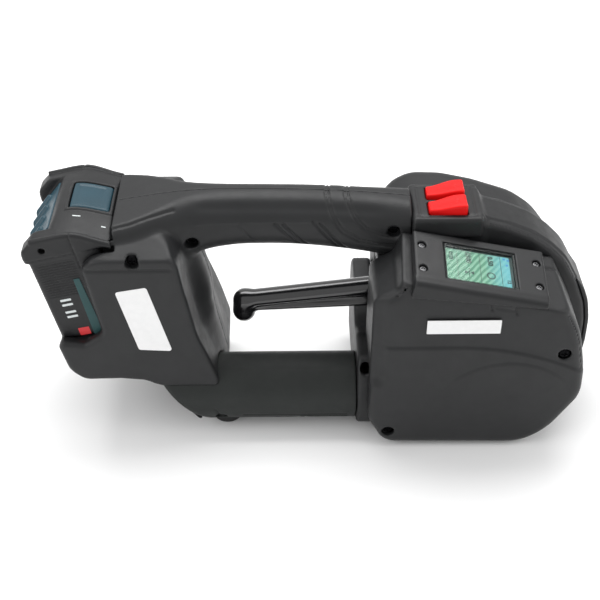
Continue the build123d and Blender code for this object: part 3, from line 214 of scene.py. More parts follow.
def net(field, low, high, step, block=6):
    """Vertices and quads of a field's zero surface, each vertex drawn onto the surface."""
    low = np.array(low, float) - 2.5 * step
    count = np.ceil((np.array(high) + 2.5 * step - low) / (step * block)).astype(int)
    axes = [low[k] + step * block * (np.arange(count[k]) + 0.5) for k in range(3)]
    centres = np.stack(np.meshgrid(*axes, indexing="ij"), -1).reshape(-1, 3)
    coarse = field(centres).reshape(count)
    big = np.repeat(np.repeat(np.repeat(np.where(coarse < 0, -FAR, FAR), block, 0), block, 1), block, 2)
    grid = np.pad(big, ((0, 1), (0, 1), (0, 1)), mode="edge").astype(np.float32)
    active = np.argwhere(np.abs(coarse) < step * block * 1.25)
    offsets = np.stack(np.meshgrid(*[np.arange(block + 1)] * 3, indexing="ij"), -1).reshape(-1, 3)
    for part in np.array_split(active, max(1, len(active) // 1500)):
        index = (part[:, None, :] * block + offsets[None]).reshape(-1, 3)
        grid[tuple(index.T)] = field(low + step * index)
    inside = grid < 0
    size = np.array(grid.shape) - 1
    corners = [(i, j, k) for i in (0, 1) for j in (0, 1) for k in (0, 1)]
    total = sum(inside[i:i + size[0], j:j + size[1], k:k + size[2]].astype(np.int8) for i, j, k in corners)
    mixed = (total > 0) & (total < 8)
    cells = np.argwhere(mixed)
    number = np.full(mixed.shape, -1, np.int64)
    number[mixed] = np.arange(len(cells))
    place = np.zeros((len(cells), 3))
    hits = np.zeros(len(cells))
    for axis in range(3):
        for c in corners:
            if c[axis]:
                continue
            a = cells + c
            b = a.copy()
            b[:, axis] += 1
            da, db = grid[tuple(a.T)], grid[tuple(b.T)]
            cross = (da < 0) != (db < 0)
            t = np.where(cross, da / np.where(cross, da - db, 1), 0)
            spot = a.astype(float)
            spot[:, axis] += t
            place += spot * cross[:, None]
            hits += cross
    verts = low + step * place / hits[:, None]
    quads = []
    for axis in range(3):
        one, two = (axis + 1) % 3, (axis + 2) % 3
        lead = [slice(1, size[k]) for k in range(3)]
        lead[axis] = slice(0, size[axis])
        ahead = list(lead)
        ahead[axis] = slice(1, size[axis] + 1)
        here, there = inside[tuple(lead)], inside[tuple(ahead)]
        for flip, mask in ((False, here & ~there), (True, ~here & there)):
            spots = np.argwhere(mask)
            spots[:, one] += 1
            spots[:, two] += 1
            ring = []
            for s, t in ((0, 0), (-1, 0), (-1, -1), (0, -1)):
                c = spots.copy()
                c[:, one] += s
                c[:, two] += t
                ring.append(number[tuple(c.T)])
            quad = np.stack(ring, 1)
            quads.append(quad[:, ::-1] if flip else quad)
    quads = np.concatenate(quads)
    quads = quads[(quads >= 0).all(1)]
    h = 0.25 * step
    for _ in range(2):
        value = field(verts)
        slope = np.stack([(field(verts + h * e) - field(verts - h * e)) / (2 * h) for e in np.eye(3)], 1)
        length = (slope**2).sum(1)
        move = slope * (value / np.maximum(length, 0.2))[:, None]
        far = np.linalg.norm(move, axis=1)
        verts = verts - move * np.minimum(1, 0.7 * step / np.maximum(far, 1e-9))[:, None]
    return verts, quads


def in_scene(name, data):
    """A new object, linked to the scene."""
    obj = bpy.data.objects.new(name, data)
    bpy.context.scene.collection.objects.link(obj)
    return obj


def mesh_object(name, verts, faces, material):
    """A mesh object from vertices in millimetres."""
    mesh = bpy.data.meshes.new(name)
    verts = np.asarray(verts) * MM
    mesh.from_pydata(verts.tolist(), [], [list(map(int, f)) for f in faces])
    mesh.validate()
    mesh.shade_smooth()
    mesh.materials.append(material)
    return in_scene(name, mesh)


def skin(name, field, low, high, step, material, body, nodes=()):
    """A moulded piece, meshed from its field, riding on a body in place of CAD nodes."""
    verts, quads = net(field, low, high, step)
    obj = mesh_object(name, verts, quads, material)
    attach(obj, body)
    if nodes:
        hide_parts(*nodes)
    return obj


def shell(name, field, node, step, material, body, below=0, above=0):
    """A skin in place of one CAD node, meshed within the node's box, which may be widened."""
    low, high = node_box(node)
    return skin(name, field, low - np.array(below), high + np.array(above), step, material, body, [node])


# ---- Materials ----

def tone(colour, times, plus=0.0):
    """A darker or paler shade of a colour."""
    return tuple(min(1.0, c * times + plus) for c in colour)


class Shader:
    """Builds one node material step by step."""

    def __init__(self, name):
        self.material = bpy.data.materials.new(name)
        self.material.use_nodes = True
        self.tree = self.material.node_tree
        self.bsdf = self.tree.nodes["Principled BSDF"]

    def add(self, kind, **values):
        node = self.tree.nodes.new(kind)
        for key, value in values.items():
            if hasattr(node, key):
                setattr(node, key, value)
            else:
                node.inputs[key.replace("_", " ")].default_value = value
        return node

    def link(self, a, b):
        self.tree.links.new(a, b)

    def set(self, name, value):
        """Gives the shader a plain value or a node's output."""
        if isinstance(value, bpy.types.NodeSocket):
            self.link(value, self.bsdf.inputs[name])
        else:
            self.bsdf.inputs[name].default_value = value

    def place(self):
        return self.add("ShaderNodeTexCoord").outputs["Object"]

    def noise(self, scale, detail=4.0, rough=0.5):
        node = self.add("ShaderNodeTexNoise", Scale=scale, Detail=detail, Roughness=rough)
        self.link(self.place(), node.inputs["Vector"])
        return node.outputs["Fac"]

    def spread(self, value, low=0.0, high=1.0, start=0.25, end=0.75):
        """Maps values from start to end onto low to high."""
        node = self.add("ShaderNodeMapRange", From_Min=start, From_Max=end, To_Min=low, To_Max=high)
        self.link(value, node.inputs["Value"])
        return node.outputs["Result"]

    def mix(self, amount, one, two):
        node = self.add("ShaderNodeMix", data_type="RGBA")
        self.link(amount, node.inputs[0])
        for socket, colour in ((node.inputs[6], one), (node.inputs[7], two)):
            if isinstance(colour, tuple):
                socket.default_value = (*colour, 1)
            else:
                self.link(colour, socket)
        return node.outputs[2]

    def bump(self, height, strength, distance):
        node = self.add("ShaderNodeBump", Strength=strength, Distance=distance)
        self.link(height, node.inputs["Height"])
        previous = self.bsdf.inputs["Normal"].links
        if previous:
            self.link(previous[0].from_socket, node.inputs["Normal"])
        self.link(node.outputs["Normal"], self.bsdf.inputs["Normal"])


def plastic(name, colour, rough, grain=0.00006, grain_scale=2600.0, edge=0.35, shine=0.34):
    """Spark-textured moulded plastic: mottled, with a painted highlight that makes its sharp edges paler."""
    s = Shader(name)
    mottled = s.mix(s.spread(s.noise(55.0, 5.0)), tone(colour, 0.86), tone(colour, 1.12))
    pointy = s.add("ShaderNodeNewGeometry").outputs["Pointiness"]
    # painted highlight: sharp edges, found by pointiness, get a paler colour in place of the light that catches
    # them
    s.set("Base Color", s.mix(s.spread(pointy, 0.0, edge, 0.52, 0.62), mottled, tone(colour, 1.7, 0.02)))
    s.set("Roughness", s.spread(s.noise(160.0, 6.0), rough - 0.05, rough + 0.07))
    s.set("Specular IOR Level", shine)
    s.bump(s.noise(grain_scale, 2.0), 0.55, grain)
    s.bump(s.noise(grain_scale / 6, 3.0), 0.25, grain * 2)
    return s.material


def gloss(name, colour, rough=0.16, coat=0.5, shine=0.5):
    """Glossy enamel or polished plastic with a faint orange peel."""
    s = Shader(name)
    s.set("Base Color", s.mix(s.spread(s.noise(30.0)), tone(colour, 0.9), colour))
    s.set("Roughness", s.spread(s.noise(240.0, 5.0), rough, rough + 0.08))
    s.set("Specular IOR Level", shine)
    s.set("Coat Weight", coat)
    s.set("Coat Roughness", 0.12)
    s.bump(s.noise(420.0, 2.0), 0.12, 0.0001)
    return s.material


def metal(name, colour, rough, stretch=(1.0, 30.0, 30.0)):
    """Ground or drawn metal with fine lines along one axis."""
    s = Shader(name)
    s.set("Metallic", 1.0)
    mapping = s.add("ShaderNodeMapping", Scale=stretch)
    s.link(s.place(), mapping.inputs["Vector"])
    texture = s.add("ShaderNodeTexNoise", Scale=160.0, Detail=5.0)
    s.link(mapping.outputs["Vector"], texture.inputs["Vector"])
    lines = texture.outputs["Fac"]
    s.set("Base Color", s.mix(lines, tone(colour, 0.8), tone(colour, 1.15)))
    s.set("Roughness", s.spread(lines, rough - 0.06, rough + 0.1))
    s.bump(lines, 0.2, 0.00005)
    return s.material


def rubber(name, colour):
    s = Shader(name)
    s.set("Base Color", s.mix(s.spread(s.noise(90.0)), tone(colour, 0.8), colour))
    s.set("Roughness", 0.8)
    s.bump(s.noise(1500.0), 0.5, 0.0001)
    return s.material


def glass(name):
    s = Shader(name)
    s.set("Base Color", (0.95, 1.0, 0.98, 1))
    s.set("Transmission Weight", 1.0)
    s.set("Roughness", 0.03)
    s.set("IOR", 1.12)
    s.bump(s.noise(30.0), 0.01, 0.0001)
    return s.material


def screen_face(name):
    """A lit display: green with slanting streaks, turning to cyan towards one end."""
    s = Shader(name)
    place = s.place()
    turn = s.add("ShaderNodeMapping", Rotation=(0.0, 0.0, math.radians(38)))
    s.link(place, turn.inputs["Vector"])
    wave = s.add("ShaderNodeTexWave", Scale=110.0, Distortion=1.6, Detail=3.0)
    s.link(turn.outputs["Vector"], wave.inputs["Vector"])
    streaks = s.mix(s.spread(wave.outputs["Fac"]), (0.070, 0.22, 0.14), (0.19, 0.38, 0.27))
    split = s.add("ShaderNodeSeparateXYZ")
    s.link(place, split.inputs[0])
    blue = s.mix(s.spread(split.outputs["X"], 0.0, 0.85, 0.004, 0.017), streaks, (0.13, 0.42, 0.50))
    s.set("Base Color", blue)
    s.set("Emission Color", blue)
    s.set("Emission Strength", 0.06)
    s.set("Roughness", 0.3)
    return s.material


def paper(name, colour):
    s = Shader(name)
    s.set("Base Color", s.mix(s.spread(s.noise(300.0, 6.0)), tone(colour, 0.95), colour))
    s.set("Roughness", 0.45)
    s.bump(s.noise(900.0), 0.15, 0.00004)
    return s.material


CASING = plastic("casing_plastic", (0.0125, 0.0130, 0.0138), 0.45)
GRIP = plastic("grip_plastic", (0.0105, 0.0128, 0.0118), 0.52, grain=0.0001, grain_scale=1900.0)
PANEL = plastic("panel_plastic", (0.0110, 0.0114, 0.0122), 0.40)
BATTERY = plastic("battery_plastic", (0.0098, 0.0102, 0.0110), 0.44, grain=0.00009)
TEAL = plastic("teal_plastic", (0.012, 0.046, 0.066), 0.36)
TEAL_LINE = plastic("teal_stripe", (0.016, 0.058, 0.060), 0.5)
RED = gloss("red_key", (0.76, 0.006, 0.006), 0.42, 0.0, 0.2)
RED_MARK = paper("red_mark", (0.62, 0.025, 0.03))
LEVER = gloss("lever_enamel", (0.007, 0.007, 0.008), 0.16, 0.8)
BLACK = plastic("black_plastic", (0.014, 0.014, 0.015), 0.5)
SCREW = metal("screw_metal", (0.008, 0.008, 0.009), 0.6, (1, 1, 1))
PANEL_SCREW = metal("panel_screw_metal", (0.16, 0.16, 0.165), 0.34, (1, 1, 1))
STEEL = metal("plate_steel", (0.52, 0.52, 0.53), 0.32)
DARK_STEEL = metal("tool_steel", (0.34, 0.34, 0.35), 0.30, (30, 1, 30))
CORE = metal("core_steel", (0.20, 0.20, 0.21), 0.45, (60, 1, 1))
ALLOY = metal("cast_alloy", (0.60, 0.61, 0.63), 0.42, (4, 4, 4))
BRASS = metal("contact_brass", (0.72, 0.50, 0.20), 0.28)
RUBBER = rubber("foot_rubber", (0.018, 0.018, 0.018))
BOARD = plastic("board_mask", (0.015, 0.11, 0.05), 0.4)
CELL = gloss("cell_film", (0.03, 0.12, 0.30), 0.3, 0.2)
WHITE = paper("label_film", (0.80, 0.80, 0.80))
INK = paper("pale_ink", (0.62, 0.66, 0.66))
DARK_INK = paper("dark_ink", (0.02, 0.04, 0.04))
BLUE_INK = paper("blue_ink", (0.06, 0.25, 0.55))
GLASS = glass("screen_window")
SCREEN = screen_face("screen_face")

SLOT_MATERIALS = {
    "casing": CASING, "panel_plastic": PANEL, "battery_plastic": BATTERY, "teal_plastic": TEAL,
    "red_plastic": RED,
    "black_plastic": BLACK, "lever_plastic": LEVER, "label_white": WHITE, "screen_glass": GLASS,
    "screen_face": SCREEN, "board": BOARD, "cell_wrap": CELL, "foot_rubber": RUBBER, "belt_rubber": RUBBER,
    "contact_brass": BRASS, "alloy": ALLOY, "steel": STEEL, "core_steel": CORE, "hard_steel": DARK_STEEL,
    "screw_steel": SCREW,
}
for part in frame["record"]["subparts"]:
    cad = frame["nodes"][part["node"]]
    if not cad.material_slots:
        cad.data.materials.append(SLOT_MATERIALS[part["material_slot"]])
    for cad_slot in cad.material_slots:
        cad_slot.material = SLOT_MATERIALS[part["material_slot"]]

# ---- Shared places, in millimetres ----

HEAD_X = -36.0
DOCK_X = HEAD_X - 132.0
DOCK_HALF = 45.0
SPINE_HALF = 17.0
PACK_HALF = 38.0
POCKET_HALF = PACK_HALF + 0.5
WALL = 2.6
LEVER_AXLE = (-42.0, 80.0)
KEY_Y = 8.0
NEAR_Y = -62.0
FAR_Y = 62.0
MOTOR_Y, MOTOR_Z = -29.0, 24.5
BAR_R = 20.5
TILT = math.radians(12.6)
DOCK_ORIGIN = (DOCK_X - 56.5, 120.2)
CASE_SCREWS = [(DOCK_X + 5.2, -17.0, 124.6), (HEAD_X - 10.0, -17.0, 130.0), (DOCK_X - 26.4, -45.0, 129.0)]
TAIL_SCREW = (DOCK_X - 50.0, 45.0, 57.0)
COVER_SCREWS = [(-47.4, NEAR_Y, 13.6), (52.6, NEAR_Y, 72.4)]
RECESS = 3.9
HEAD_SINK = 4.9


def dock_frame(x, z):
    """Coordinates across and along the battery's rails."""
    dx, dz = x - DOCK_ORIGIN[0], z - DOCK_ORIGIN[1]
    c, s = math.cos(TILT), math.sin(TILT)
    return dx * c + dz * s, -dx * s + dz * c


def from_dock(t, u):
    """The x and z of a place in the dock's frame."""
    c, s = math.cos(TILT), math.sin(TILT)
    return DOCK_ORIGIN[0] + t * c - u * s, DOCK_ORIGIN[1] + t * s + u * c


def from_motor(y, z):
    """Distance from the motor's axis."""
    return np.hypot(y - MOTOR_Y, z - MOTOR_Z)


def recess(d, p, x, face, z, depth=5.0, radius=RECESS):
    """Sinks a round screw recess into a near-side surface."""
    hole = bore_y(p, x, z, face - 8, face + depth, radius)
    return cut(d, hole, 0.7)


# ---- Casing of the handle and the dock ----

DOCK_OUTLINE = Outline([(DOCK_X + x, z) for x, z in (
    (-48.0, 78.0), (-59.0, 70.5), (-72.5, 72.5), (-75.0, 68.0), (-70.5, 50.0), (-62.0, 42.5),
    (-40.0, 43.0), (-26.0, 41.5), (-16.5, 36.5), (-7.0, 24.0), (5.0, 8.5), (21.0, 8.5),
    (22.0, 28.0), (17.0, 47.0), (13.5, 58.0), (7.5, 75.0), (1.5, 108.0), (-1.5, 128.0),
    (-9.0, 138.0), (-22.0, 138.5), (-35.0, 136.0), (-49.5, 131.0), (-55.5, 125.0),
)], [6, 3, 2, 3, 14, 10, 14, 12, 14, 20, 5, 3, 20, 20, 30, 60, 60, 16, 14, 30, 20, 6, 5])
HANDLE_X = [-216, -204, -190, -178, -168, -155, -140, -120, -100, -80, -62, -50, -36]
HANDLE_HALF = curve(HANDLE_X, [34, 33, 29.5, 24.5, 20.2, 17.8, 17, 16.6, 16.6, 16.6, 16.5, 16.7, 17])
HANDLE_TOP = curve(HANDLE_X, [141.5, 143.2, 145.6, 147.6, 148.8, 149.8, 150, 149.9, 149.5, 148.6, 147.2,
                              146.0, 144.5])
HANDLE_LOW = curve(HANDLE_X, [100, 100, 102, 105, 108.5, 112.5, 114.8, 115.4, 114.6, 112.4, 109.6, 107.6,
                              105.6])
HANDLE_ROUND = curve(HANDLE_X, [7, 8, 10, 12, 14, 15.5, 16.2, 16.2, 16.2, 16, 15.4, 14.5, 13])
GRIP_LINES = [
    [(-114.4, 135.7), (-100.7, 120.5)], [(-109.9, 135.7), (-96.1, 120.0)], [(-92.5, 137.2), (-77.5, 117.6)],
    [(-88.8, 136.0), (-73.8, 117.3)],
]
FAINT_LINE = [(-135.4, 135.9), (-127.5, 123.6)]
RING_LINES = [
    [(-84.7, 152), (-84.9, 149.3), (-81.6, 140.6), (-75, 130.6), (-64.6, 123.7), (-56.2, 121.4),
     (-46, 120.4)],
    [(-73.6, 152), (-73.6, 148.1), (-68.8, 139.3), (-62.2, 132.7), (-52.8, 128.1), (-45, 126.4)],
]


def handle_field(p):
    x, y, z = p.T
    half, top, low, r = HANDLE_HALF(x), HANDLE_TOP(x), HANDLE_LOW(x), HANDLE_ROUND(x)
    qy = np.abs(y) - (half - r)
    qz = np.abs(z - (top + low) / 2) - ((top - low) / 2 - r)
    d = np.hypot(np.maximum(qy, 0), np.maximum(qz, 0)) + np.minimum(np.maximum(qy, qz), 0) - r
    # a crease where the crown of the grip meets its flanks
    crown = ease((x + 168) / 20) * ease((-44 - x) / 18)
    d = d + 0.9 * crown * np.exp(-(((np.abs(y) - 12.6) ** 2 + (z - top + 5.2) ** 2) / 9.0))
    flank = ease((np.abs(y) - 7) / 3)
    for line in GRIP_LINES:
        d = d + ridge(path_distance(x, z, line), 1.0, 0.75) * flank
    d = d + ridge(path_distance(x, z, FAINT_LINE), 0.5, 0.8) * flank
    # each ring is a pair of fine lines
    for line in RING_LINES:
        d = d + ridge(path_distance(x, z, line) - 0.9, 0.75, 0.55)
    # a raised border runs along the top of the grip's flank
    border = np.exp(-(((z - 137.6) / 0.8) ** 2)) * ease((x + 164) / 6) * ease((-88 - x) / 6)
    d = d - 0.45 * border * (np.abs(y) > 10)
    return soft_max(soft_max(d, x - HEAD_X, 1.0), -216 - x, 2.0)


BULGE = curve([-10, 28, 45, 60, 72, 82, 105, 118, 132, 160],
              [0.6, 0.8, 1.7, 3.6, 6.2, 8.0, 7.6, 5.5, 2.0, 0.0])
CHEEK_LEAN = 0.42
SHOULDER_LINES = [[(-214, 30.5), (-196, 26.5), (-182, 20.5), (-172, 16.0)]]
BAR_TAIL = ((-184.0, 36.5), (-160.0, 8.5))


def bar_tail(x, z):
    """Distance beyond the slanting plane that ends the motor bar's housing."""
    (ax, az), (bx, bz) = BAR_TAIL
    length = math.hypot(bx - ax, bz - az)
    return ((x - ax) * (bz - az) - (z - az) * (bx - ax)) / length


def casing_field(p):
    x, y, z = p.T
    # the wall that faces the fingers bulges forwards in the middle, in facets
    swell = BULGE(z) * (1 - ease((np.abs(y) - 5) / 22)) * ease((x - DOCK_X + 28) / 24)
    cheeks = extruded(DOCK_OUTLINE(x - swell, z), y, -DOCK_HALF, DOCK_HALF, 3.4)
    # the shoulder on top of each cheek slopes away from the middle
    lean = (np.abs(y) - 30) * CHEEK_LEAN
    cheeks = soft_max(cheeks, (z - 137.2) + lean, 1.6)
    # a raised rim follows the cheek's upper edge, with a sunken band below it
    rim = z - (136.4 - lean)
    flank = ease((np.abs(y) - 41) / 2) * ease((DOCK_X - 2 - x) / 5) * ease((x - DOCK_X + 56) / 5)
    cheeks = cheeks + 0.7 * flank * np.exp(-(((rim + 5.5) / 0.9) ** 2))
    d = soft_min(cheeks, handle_field(p), 3.2)
    # creases from the battery's seam to the first handle screw
    for side_line in SHOULDER_LINES:
        d = d + ridge(path_distance(x, np.abs(y), side_line), 0.8, 0.8) * (z > 128)
    # the motor bar runs in below, with a parting gap
    bar = from_motor(y, z) - BAR_R - 0.35
    bar = np.maximum(bar, bar_tail(x, z) - 0.5)
    d = cut(d, np.maximum(bar, DOCK_X - 20 - x), 0.8)
    # battery pocket
    t, u = dock_frame(x, z)
    main = box_field(t, y, u, (-80, -POCKET_HALF, -47.5), (14.6, POCKET_HALF, 120), 1.0)
    upper = box_field(t, y, u, (-80, -POCKET_HALF, 12.2), (22.5, POCKET_HALF, 120), 0.6)
    middle = box_field(t, y, u, (0, -31.5, -47.5), (22.5, 31.5, 120), 0.6)
    sled = box_field(t, y, u, (0.4, -POCKET_HALF, -75.5), (22.5, POCKET_HALF, 10), 1.0)
    contacts = box_field(t, y, u, (20, -36, -76), (25.4, 36, 8.0), 0.5)
    d = cut(d, union(main, upper, middle, sled, contacts), 0.6)
    for sx, face, sz in CASE_SCREWS:
        d = recess(d, p, sx, face, sz)
    return cut(d, bore_y(p, TAIL_SCREW[0], TAIL_SCREW[2], 40.0, 55.0, RECESS), 0.7)


def near_half(p):
    return soft_max(casing_field(p), p[:, 1] + 0.04, 0.1)


def far_half(p):
    return soft_max(casing_field(p), 0.04 - p[:, 1], 0.1)


DETAIL = 0.8
shell("casing_near", near_half, "handle_shell_near", DETAIL, CASING, "frame")
shell("casing_far", far_half, "handle_shell_far", DETAIL, CASING, "frame")

# ---- Motor bar ----

BAR_LINES = [
    [(-152, 22), (-150, 16), (-146, 12.0), (-141, 10.5), (-105, 10.5), (-97, 8.5), (-90, 7.0), (-72, 6.6)],
    [(-135, 16.0), (-72, 16.0)],
    [(-100, 13.2), (-72, 13.2)],
    [(-97, 10.6), (-74, 10.6)],
]
BAR_END = -66.3


def bar_field(p):
    x, y, z = p.T
    r = from_motor(y, z)
    d = soft_max(r - BAR_R, z - (MOTOR_Z + BAR_R - 1.0), 1.2)
    d = soft_max(d, bar_tail(x, z), 5.0)
    for line in BAR_LINES:
        d = d + ridge(path_distance(x, z, line), 0.9, 0.7) * (y < MOTOR_Y - 5)
    d = soft_max(d, x - BAR_END, 0.8)
    d = soft_max(d, -186 - x, 2.0)
    # bore for the motor
    bore = np.maximum(r - (BAR_R - WALL), np.abs(x - (BAR_END - 44)) - 45.2)
    return recess(cut(d, bore), p, DOCK_X + 19.0, -46.5, 13.4, 5.0, 3.7)


skin("bar_housing", bar_field, (-187, MOTOR_Y - BAR_R, MOTOR_Z - BAR_R),
     (BAR_END, MOTOR_Y + BAR_R, MOTOR_Z + BAR_R), DETAIL, GRIP, "frame", ["motor_bar"])


def foot_field(p):
    x, y, z = p.T
    d = extruded(np.hypot(x - (DOCK_X + 22), y - MOTOR_Y) - 9.0, z, 0.0, 12.0, 1.6)
    return cut(d, from_motor(y, z) - BAR_R - 0.05)


shell("round_foot", foot_field, "bar_foot", 0.6, RUBBER, "frame")

# ---- Belt case, with the lug over the bar's front end ----

BELT_OUTLINE = Outline([
    (MOTOR_Y - BAR_R, 10), (MOTOR_Y - 12, 5), (-6, 5), (10, 10), (50, 10), (52, 20), (52, 60), (40, 72),
    (14, 72), (9, 60), (-6, 52), (-17, 55.5), (-41, 55.5), (-47, 47), (MOTOR_Y - BAR_R, 36),
], [8, 6, 4, 4, 4, 6, 12, 12, 8, 8, 6, 8, 8, 8, 8])


def belt_case_field(p):
    x, y, z = p.T
    flat = BELT_OUTLINE(y, z)
    d = extruded(flat, x, -66.0, -54.0, 2.2)
    d = cut(d, extruded(flat + 2.2, x, -64.4, -40.0, 0.5), 0.5)
    d = cut(d, np.maximum(from_motor(y, z) - 9, np.abs(x + 66) - 3))
    cup = capsule(p, (-61.2, -52, 50.0), (-61.2, -42.6, 50.0), 3.3)
    return cut(d, cup, 0.6)


shell("belt_case_skin", belt_case_field, "belt_case", 0.9, CASING, "frame")

# ---- Head: spine, near cover and far cover ----

SPINE_OUTLINE = Outline([
    (-54, 94), (-54, 106), (-35.7, 107), (-35.7, 140.5), (5, 140.5), (8, 136.5), (22, 132.5), (37, 126),
    (48, 118), (58.5, 107.5), (67, 92), (73.5, 76), (76, 62), (76.4, 46), (75, 30), (71, 18), (64, 9.4),
    (-48, 9.4), (-48, 94),
], [3, 1, 1, 2.5, 2.5, 4, 40, 40, 40, 40, 40, 40, 40, 40, 30, 20, 8, 2, 2])
SIDE_WINDOW = Outline([(-60, 3), (60.4, 3), (60.4, 64.2), (38.2, 102.4), (-30.2, 102.4), (-60, 86.5)], 0.0)


def spine_field(p):
    x, y, z = p.T
    flat = SPINE_OUTLINE(x, z)
    d = extruded(flat, y, -SPINE_HALF, SPINE_HALF, 4.2)
    # the flat-topped key box stands square at the rear
    box = box_field(x, y, z, (-35.7, -19.4, 127), (5.2, 19.4, 140.5), 2.4)
    d = soft_min(d, box, 0.8)
    # ahead of the key box, a raised band runs down the middle of the ridge
    band = ease((x - 4) / 6) * ease((np.abs(y) - 10.2) / 1.4)
    d = d + 1.1 * band * ease((z - 20) / 12)
    room = np.maximum(flat + WALL, np.abs(y) - SPINE_HALF + WALL)
    d = cut(d, room, 0.4)
    d = cut(d, extruded(SIDE_WINDOW(x, z), y, -40, 40, 0.2))
    d = cut(d, box_field(x, y, z, (-70, -20, 0), (HEAD_X - 6, 20, 94), 0.2))
    d = cut(d, box_field(x, y, z, (-70, -20, 0), (72, 20, 13), 0.2))
    # a fine groove frames the wells of the two keys
    frame_line = box_field(x, y, np.zeros_like(z), (-31.6, -16.4, -1), (1.2, 16.4, 1), 2.0)
    d = d + ridge(frame_line, 0.6, 0.5) * (z > 137)
    for side in (-1, 1):
        well = box_field(x, y, z, (-26.4, side * KEY_Y - 6.9, 129), (-3.6, side * KEY_Y + 6.9, 150), 1.2)
        d = cut(d, well, 0.4)
    return d


shell("spine_skin", spine_field, "spine_cover", 0.8, CASING, "frame", (0, 3, 0), (0, 3, 0))

PANEL_LEAN = np.array([0.21, -0.19, 1.0])
PANEL_N = PANEL_LEAN / np.linalg.norm(PANEL_LEAN)
PANEL_O = np.array([1.0, NEAR_Y + 22.0, 120.6])
PANEL_U = np.array([1.0, 0.0, -0.21]) / math.hypot(1, 0.21)
PANEL_V = np.cross(PANEL_N, PANEL_U)


def panel_frame(p):
    """Coordinates along, across and above the screen panel."""
    q = p - PANEL_O
    return q @ PANEL_U, q @ PANEL_V, q @ PANEL_N


NEAR_OUTLINE = Outline([
    (-60, 22), (-50, 3.2), (35, 1.8), (50.5, 13.0), (67.0, 41), (66.4, 60), (61, 86), (48.5, 110),
    (42, 130), (-38.5, 140), (-46, 118), (-59.5, 110),
], [22, 12, 26, 40, 22, 60, 60, 16, 6, 6, 6, 8])
PORT_TICKS = [(6.4, 110.6), (20.6, 107.6)]
DISC = (22.0, 21.5, 44.5)


def near_relief(x, z):
    """How far the near face steps back: below, a proud disc; above, two shallow steps."""
    crease = 77.8 - 0.0035 * np.maximum(x + 10, 0) ** 2
    upper = ease((z - crease) / 2.0)
    disc = ease((np.hypot(x - DISC[0], z - DISC[1]) - DISC[2]) / 2.2) * ease((z - 34) / 24)
    return 1.4 * upper + 1.2 * disc


def near_cover_field(p):
    x, y, z = p.T
    moved = y - near_relief(x, z)
    flat = NEAR_OUTLINE(x, z)
    d = extruded(flat, moved, NEAR_Y, 20.0, 6.5)
    # the face leans back a little towards the panel
    d = soft_max(d, (-y + NEAR_Y) + np.maximum(z - 98, 0) * 0.16, 3)
    along, across, above = panel_frame(p)
    d = soft_max(d, above + 3.0, 1.6)
    # scooped flute down the rear edge
    flute = capsule(p, (-58.5, -63.5, 125), (-57.2, -63.5, 56), 8.2, 6.2)
    d = cut(d, flute, 2.5)
    # groove along the top of the front flank
    d = d + ridge(y + 27, 0.8, 0.9) * ease((x - 38) / 6) * ease((z - 30) / 8)
    # screw seats
    for sx, face, sz in COVER_SCREWS:
        d = recess(d, p, sx, face, sz)
    # little latch mark under the panel's lip
    for tick_x, tick_z in PORT_TICKS:
        d = d + ridge(line_distance(x, z, (tick_x, tick_z), (tick_x + 0.8, tick_z - 5.0)), 1.1, 0.7)
    d = d + ridge(line_distance(x, z, (9.0, 107.4), (20.0, 105.2)), 0.5, 0.6)
    room = common(flat + WALL, NEAR_Y + WALL + 2.0 - y, above + 6.0, 3.4 - flute, -47.0 - x)
    d = cut(d, room, 0.5)
    d = np.maximum(d, y + SPINE_HALF)
    d = cut(d, common(np.abs(along) - 24.4, np.abs(across) - 14.0, np.abs(above) - 9))
    d = cut(d, box_field(x, y, z, (-75, -50.0, -5), (-53.7, 0, 56.0), 0.3))
    return cut(d, box_field(x, y, z, (-75, -38.9, -5), (-47.4, 0, 52.0), 0.3))


shell("near_cover_skin", near_cover_field, "near_cover", 0.95, CASING, "frame")

FAR_OUTLINE = Outline([
    (-53.5, 12), (-48, 9.4), (56, 9.4), (66, 20), (68, 56), (60, 88), (48, 104), (34, 114), (8, 123),
    (-12, 127.5), (-31, 128), (-44, 121), (-53.5, 100),
], [3, 3, 12, 20, 40, 40, 40, 40, 40, 40, 20, 20, 20])


def far_cover_field(p):
    x, y, z = p.T
    flat = FAR_OUTLINE(x, z)
    d = extruded(flat, y, -40, FAR_Y, 13.0)
    # shallow cooling slots low on the far face
    for k in range(6):
        slot = capsule(p, (-30 + 9.0 * k, FAR_Y, 84 - 2 * k), (-22 + 9.0 * k, FAR_Y, 60 - 2 * k), 1.5)
        d = cut(d, slot, 0.5)
    room = extruded(flat + WALL, y, -60, FAR_Y - WALL, 11.0)
    d = cut(d, room, 0.5)
    d = np.maximum(d, SPINE_HALF - y)
    d = cut(d, box_field(x, y, z, (-70, 0, -5), (-47.4, 43.3, 66.3), 0.3))
    return cut(d, box_field(x, y, z, (-70, 0, -5), (80, 48, 14.6), 0.3))


shell("far_cover_skin", far_cover_field, "far_cover", 1.05, CASING, "frame")

# ---- Screen panel ----

PANEL_SCREWS = [(a, c) for a in (-34, 34) for c in (-9, 9)]


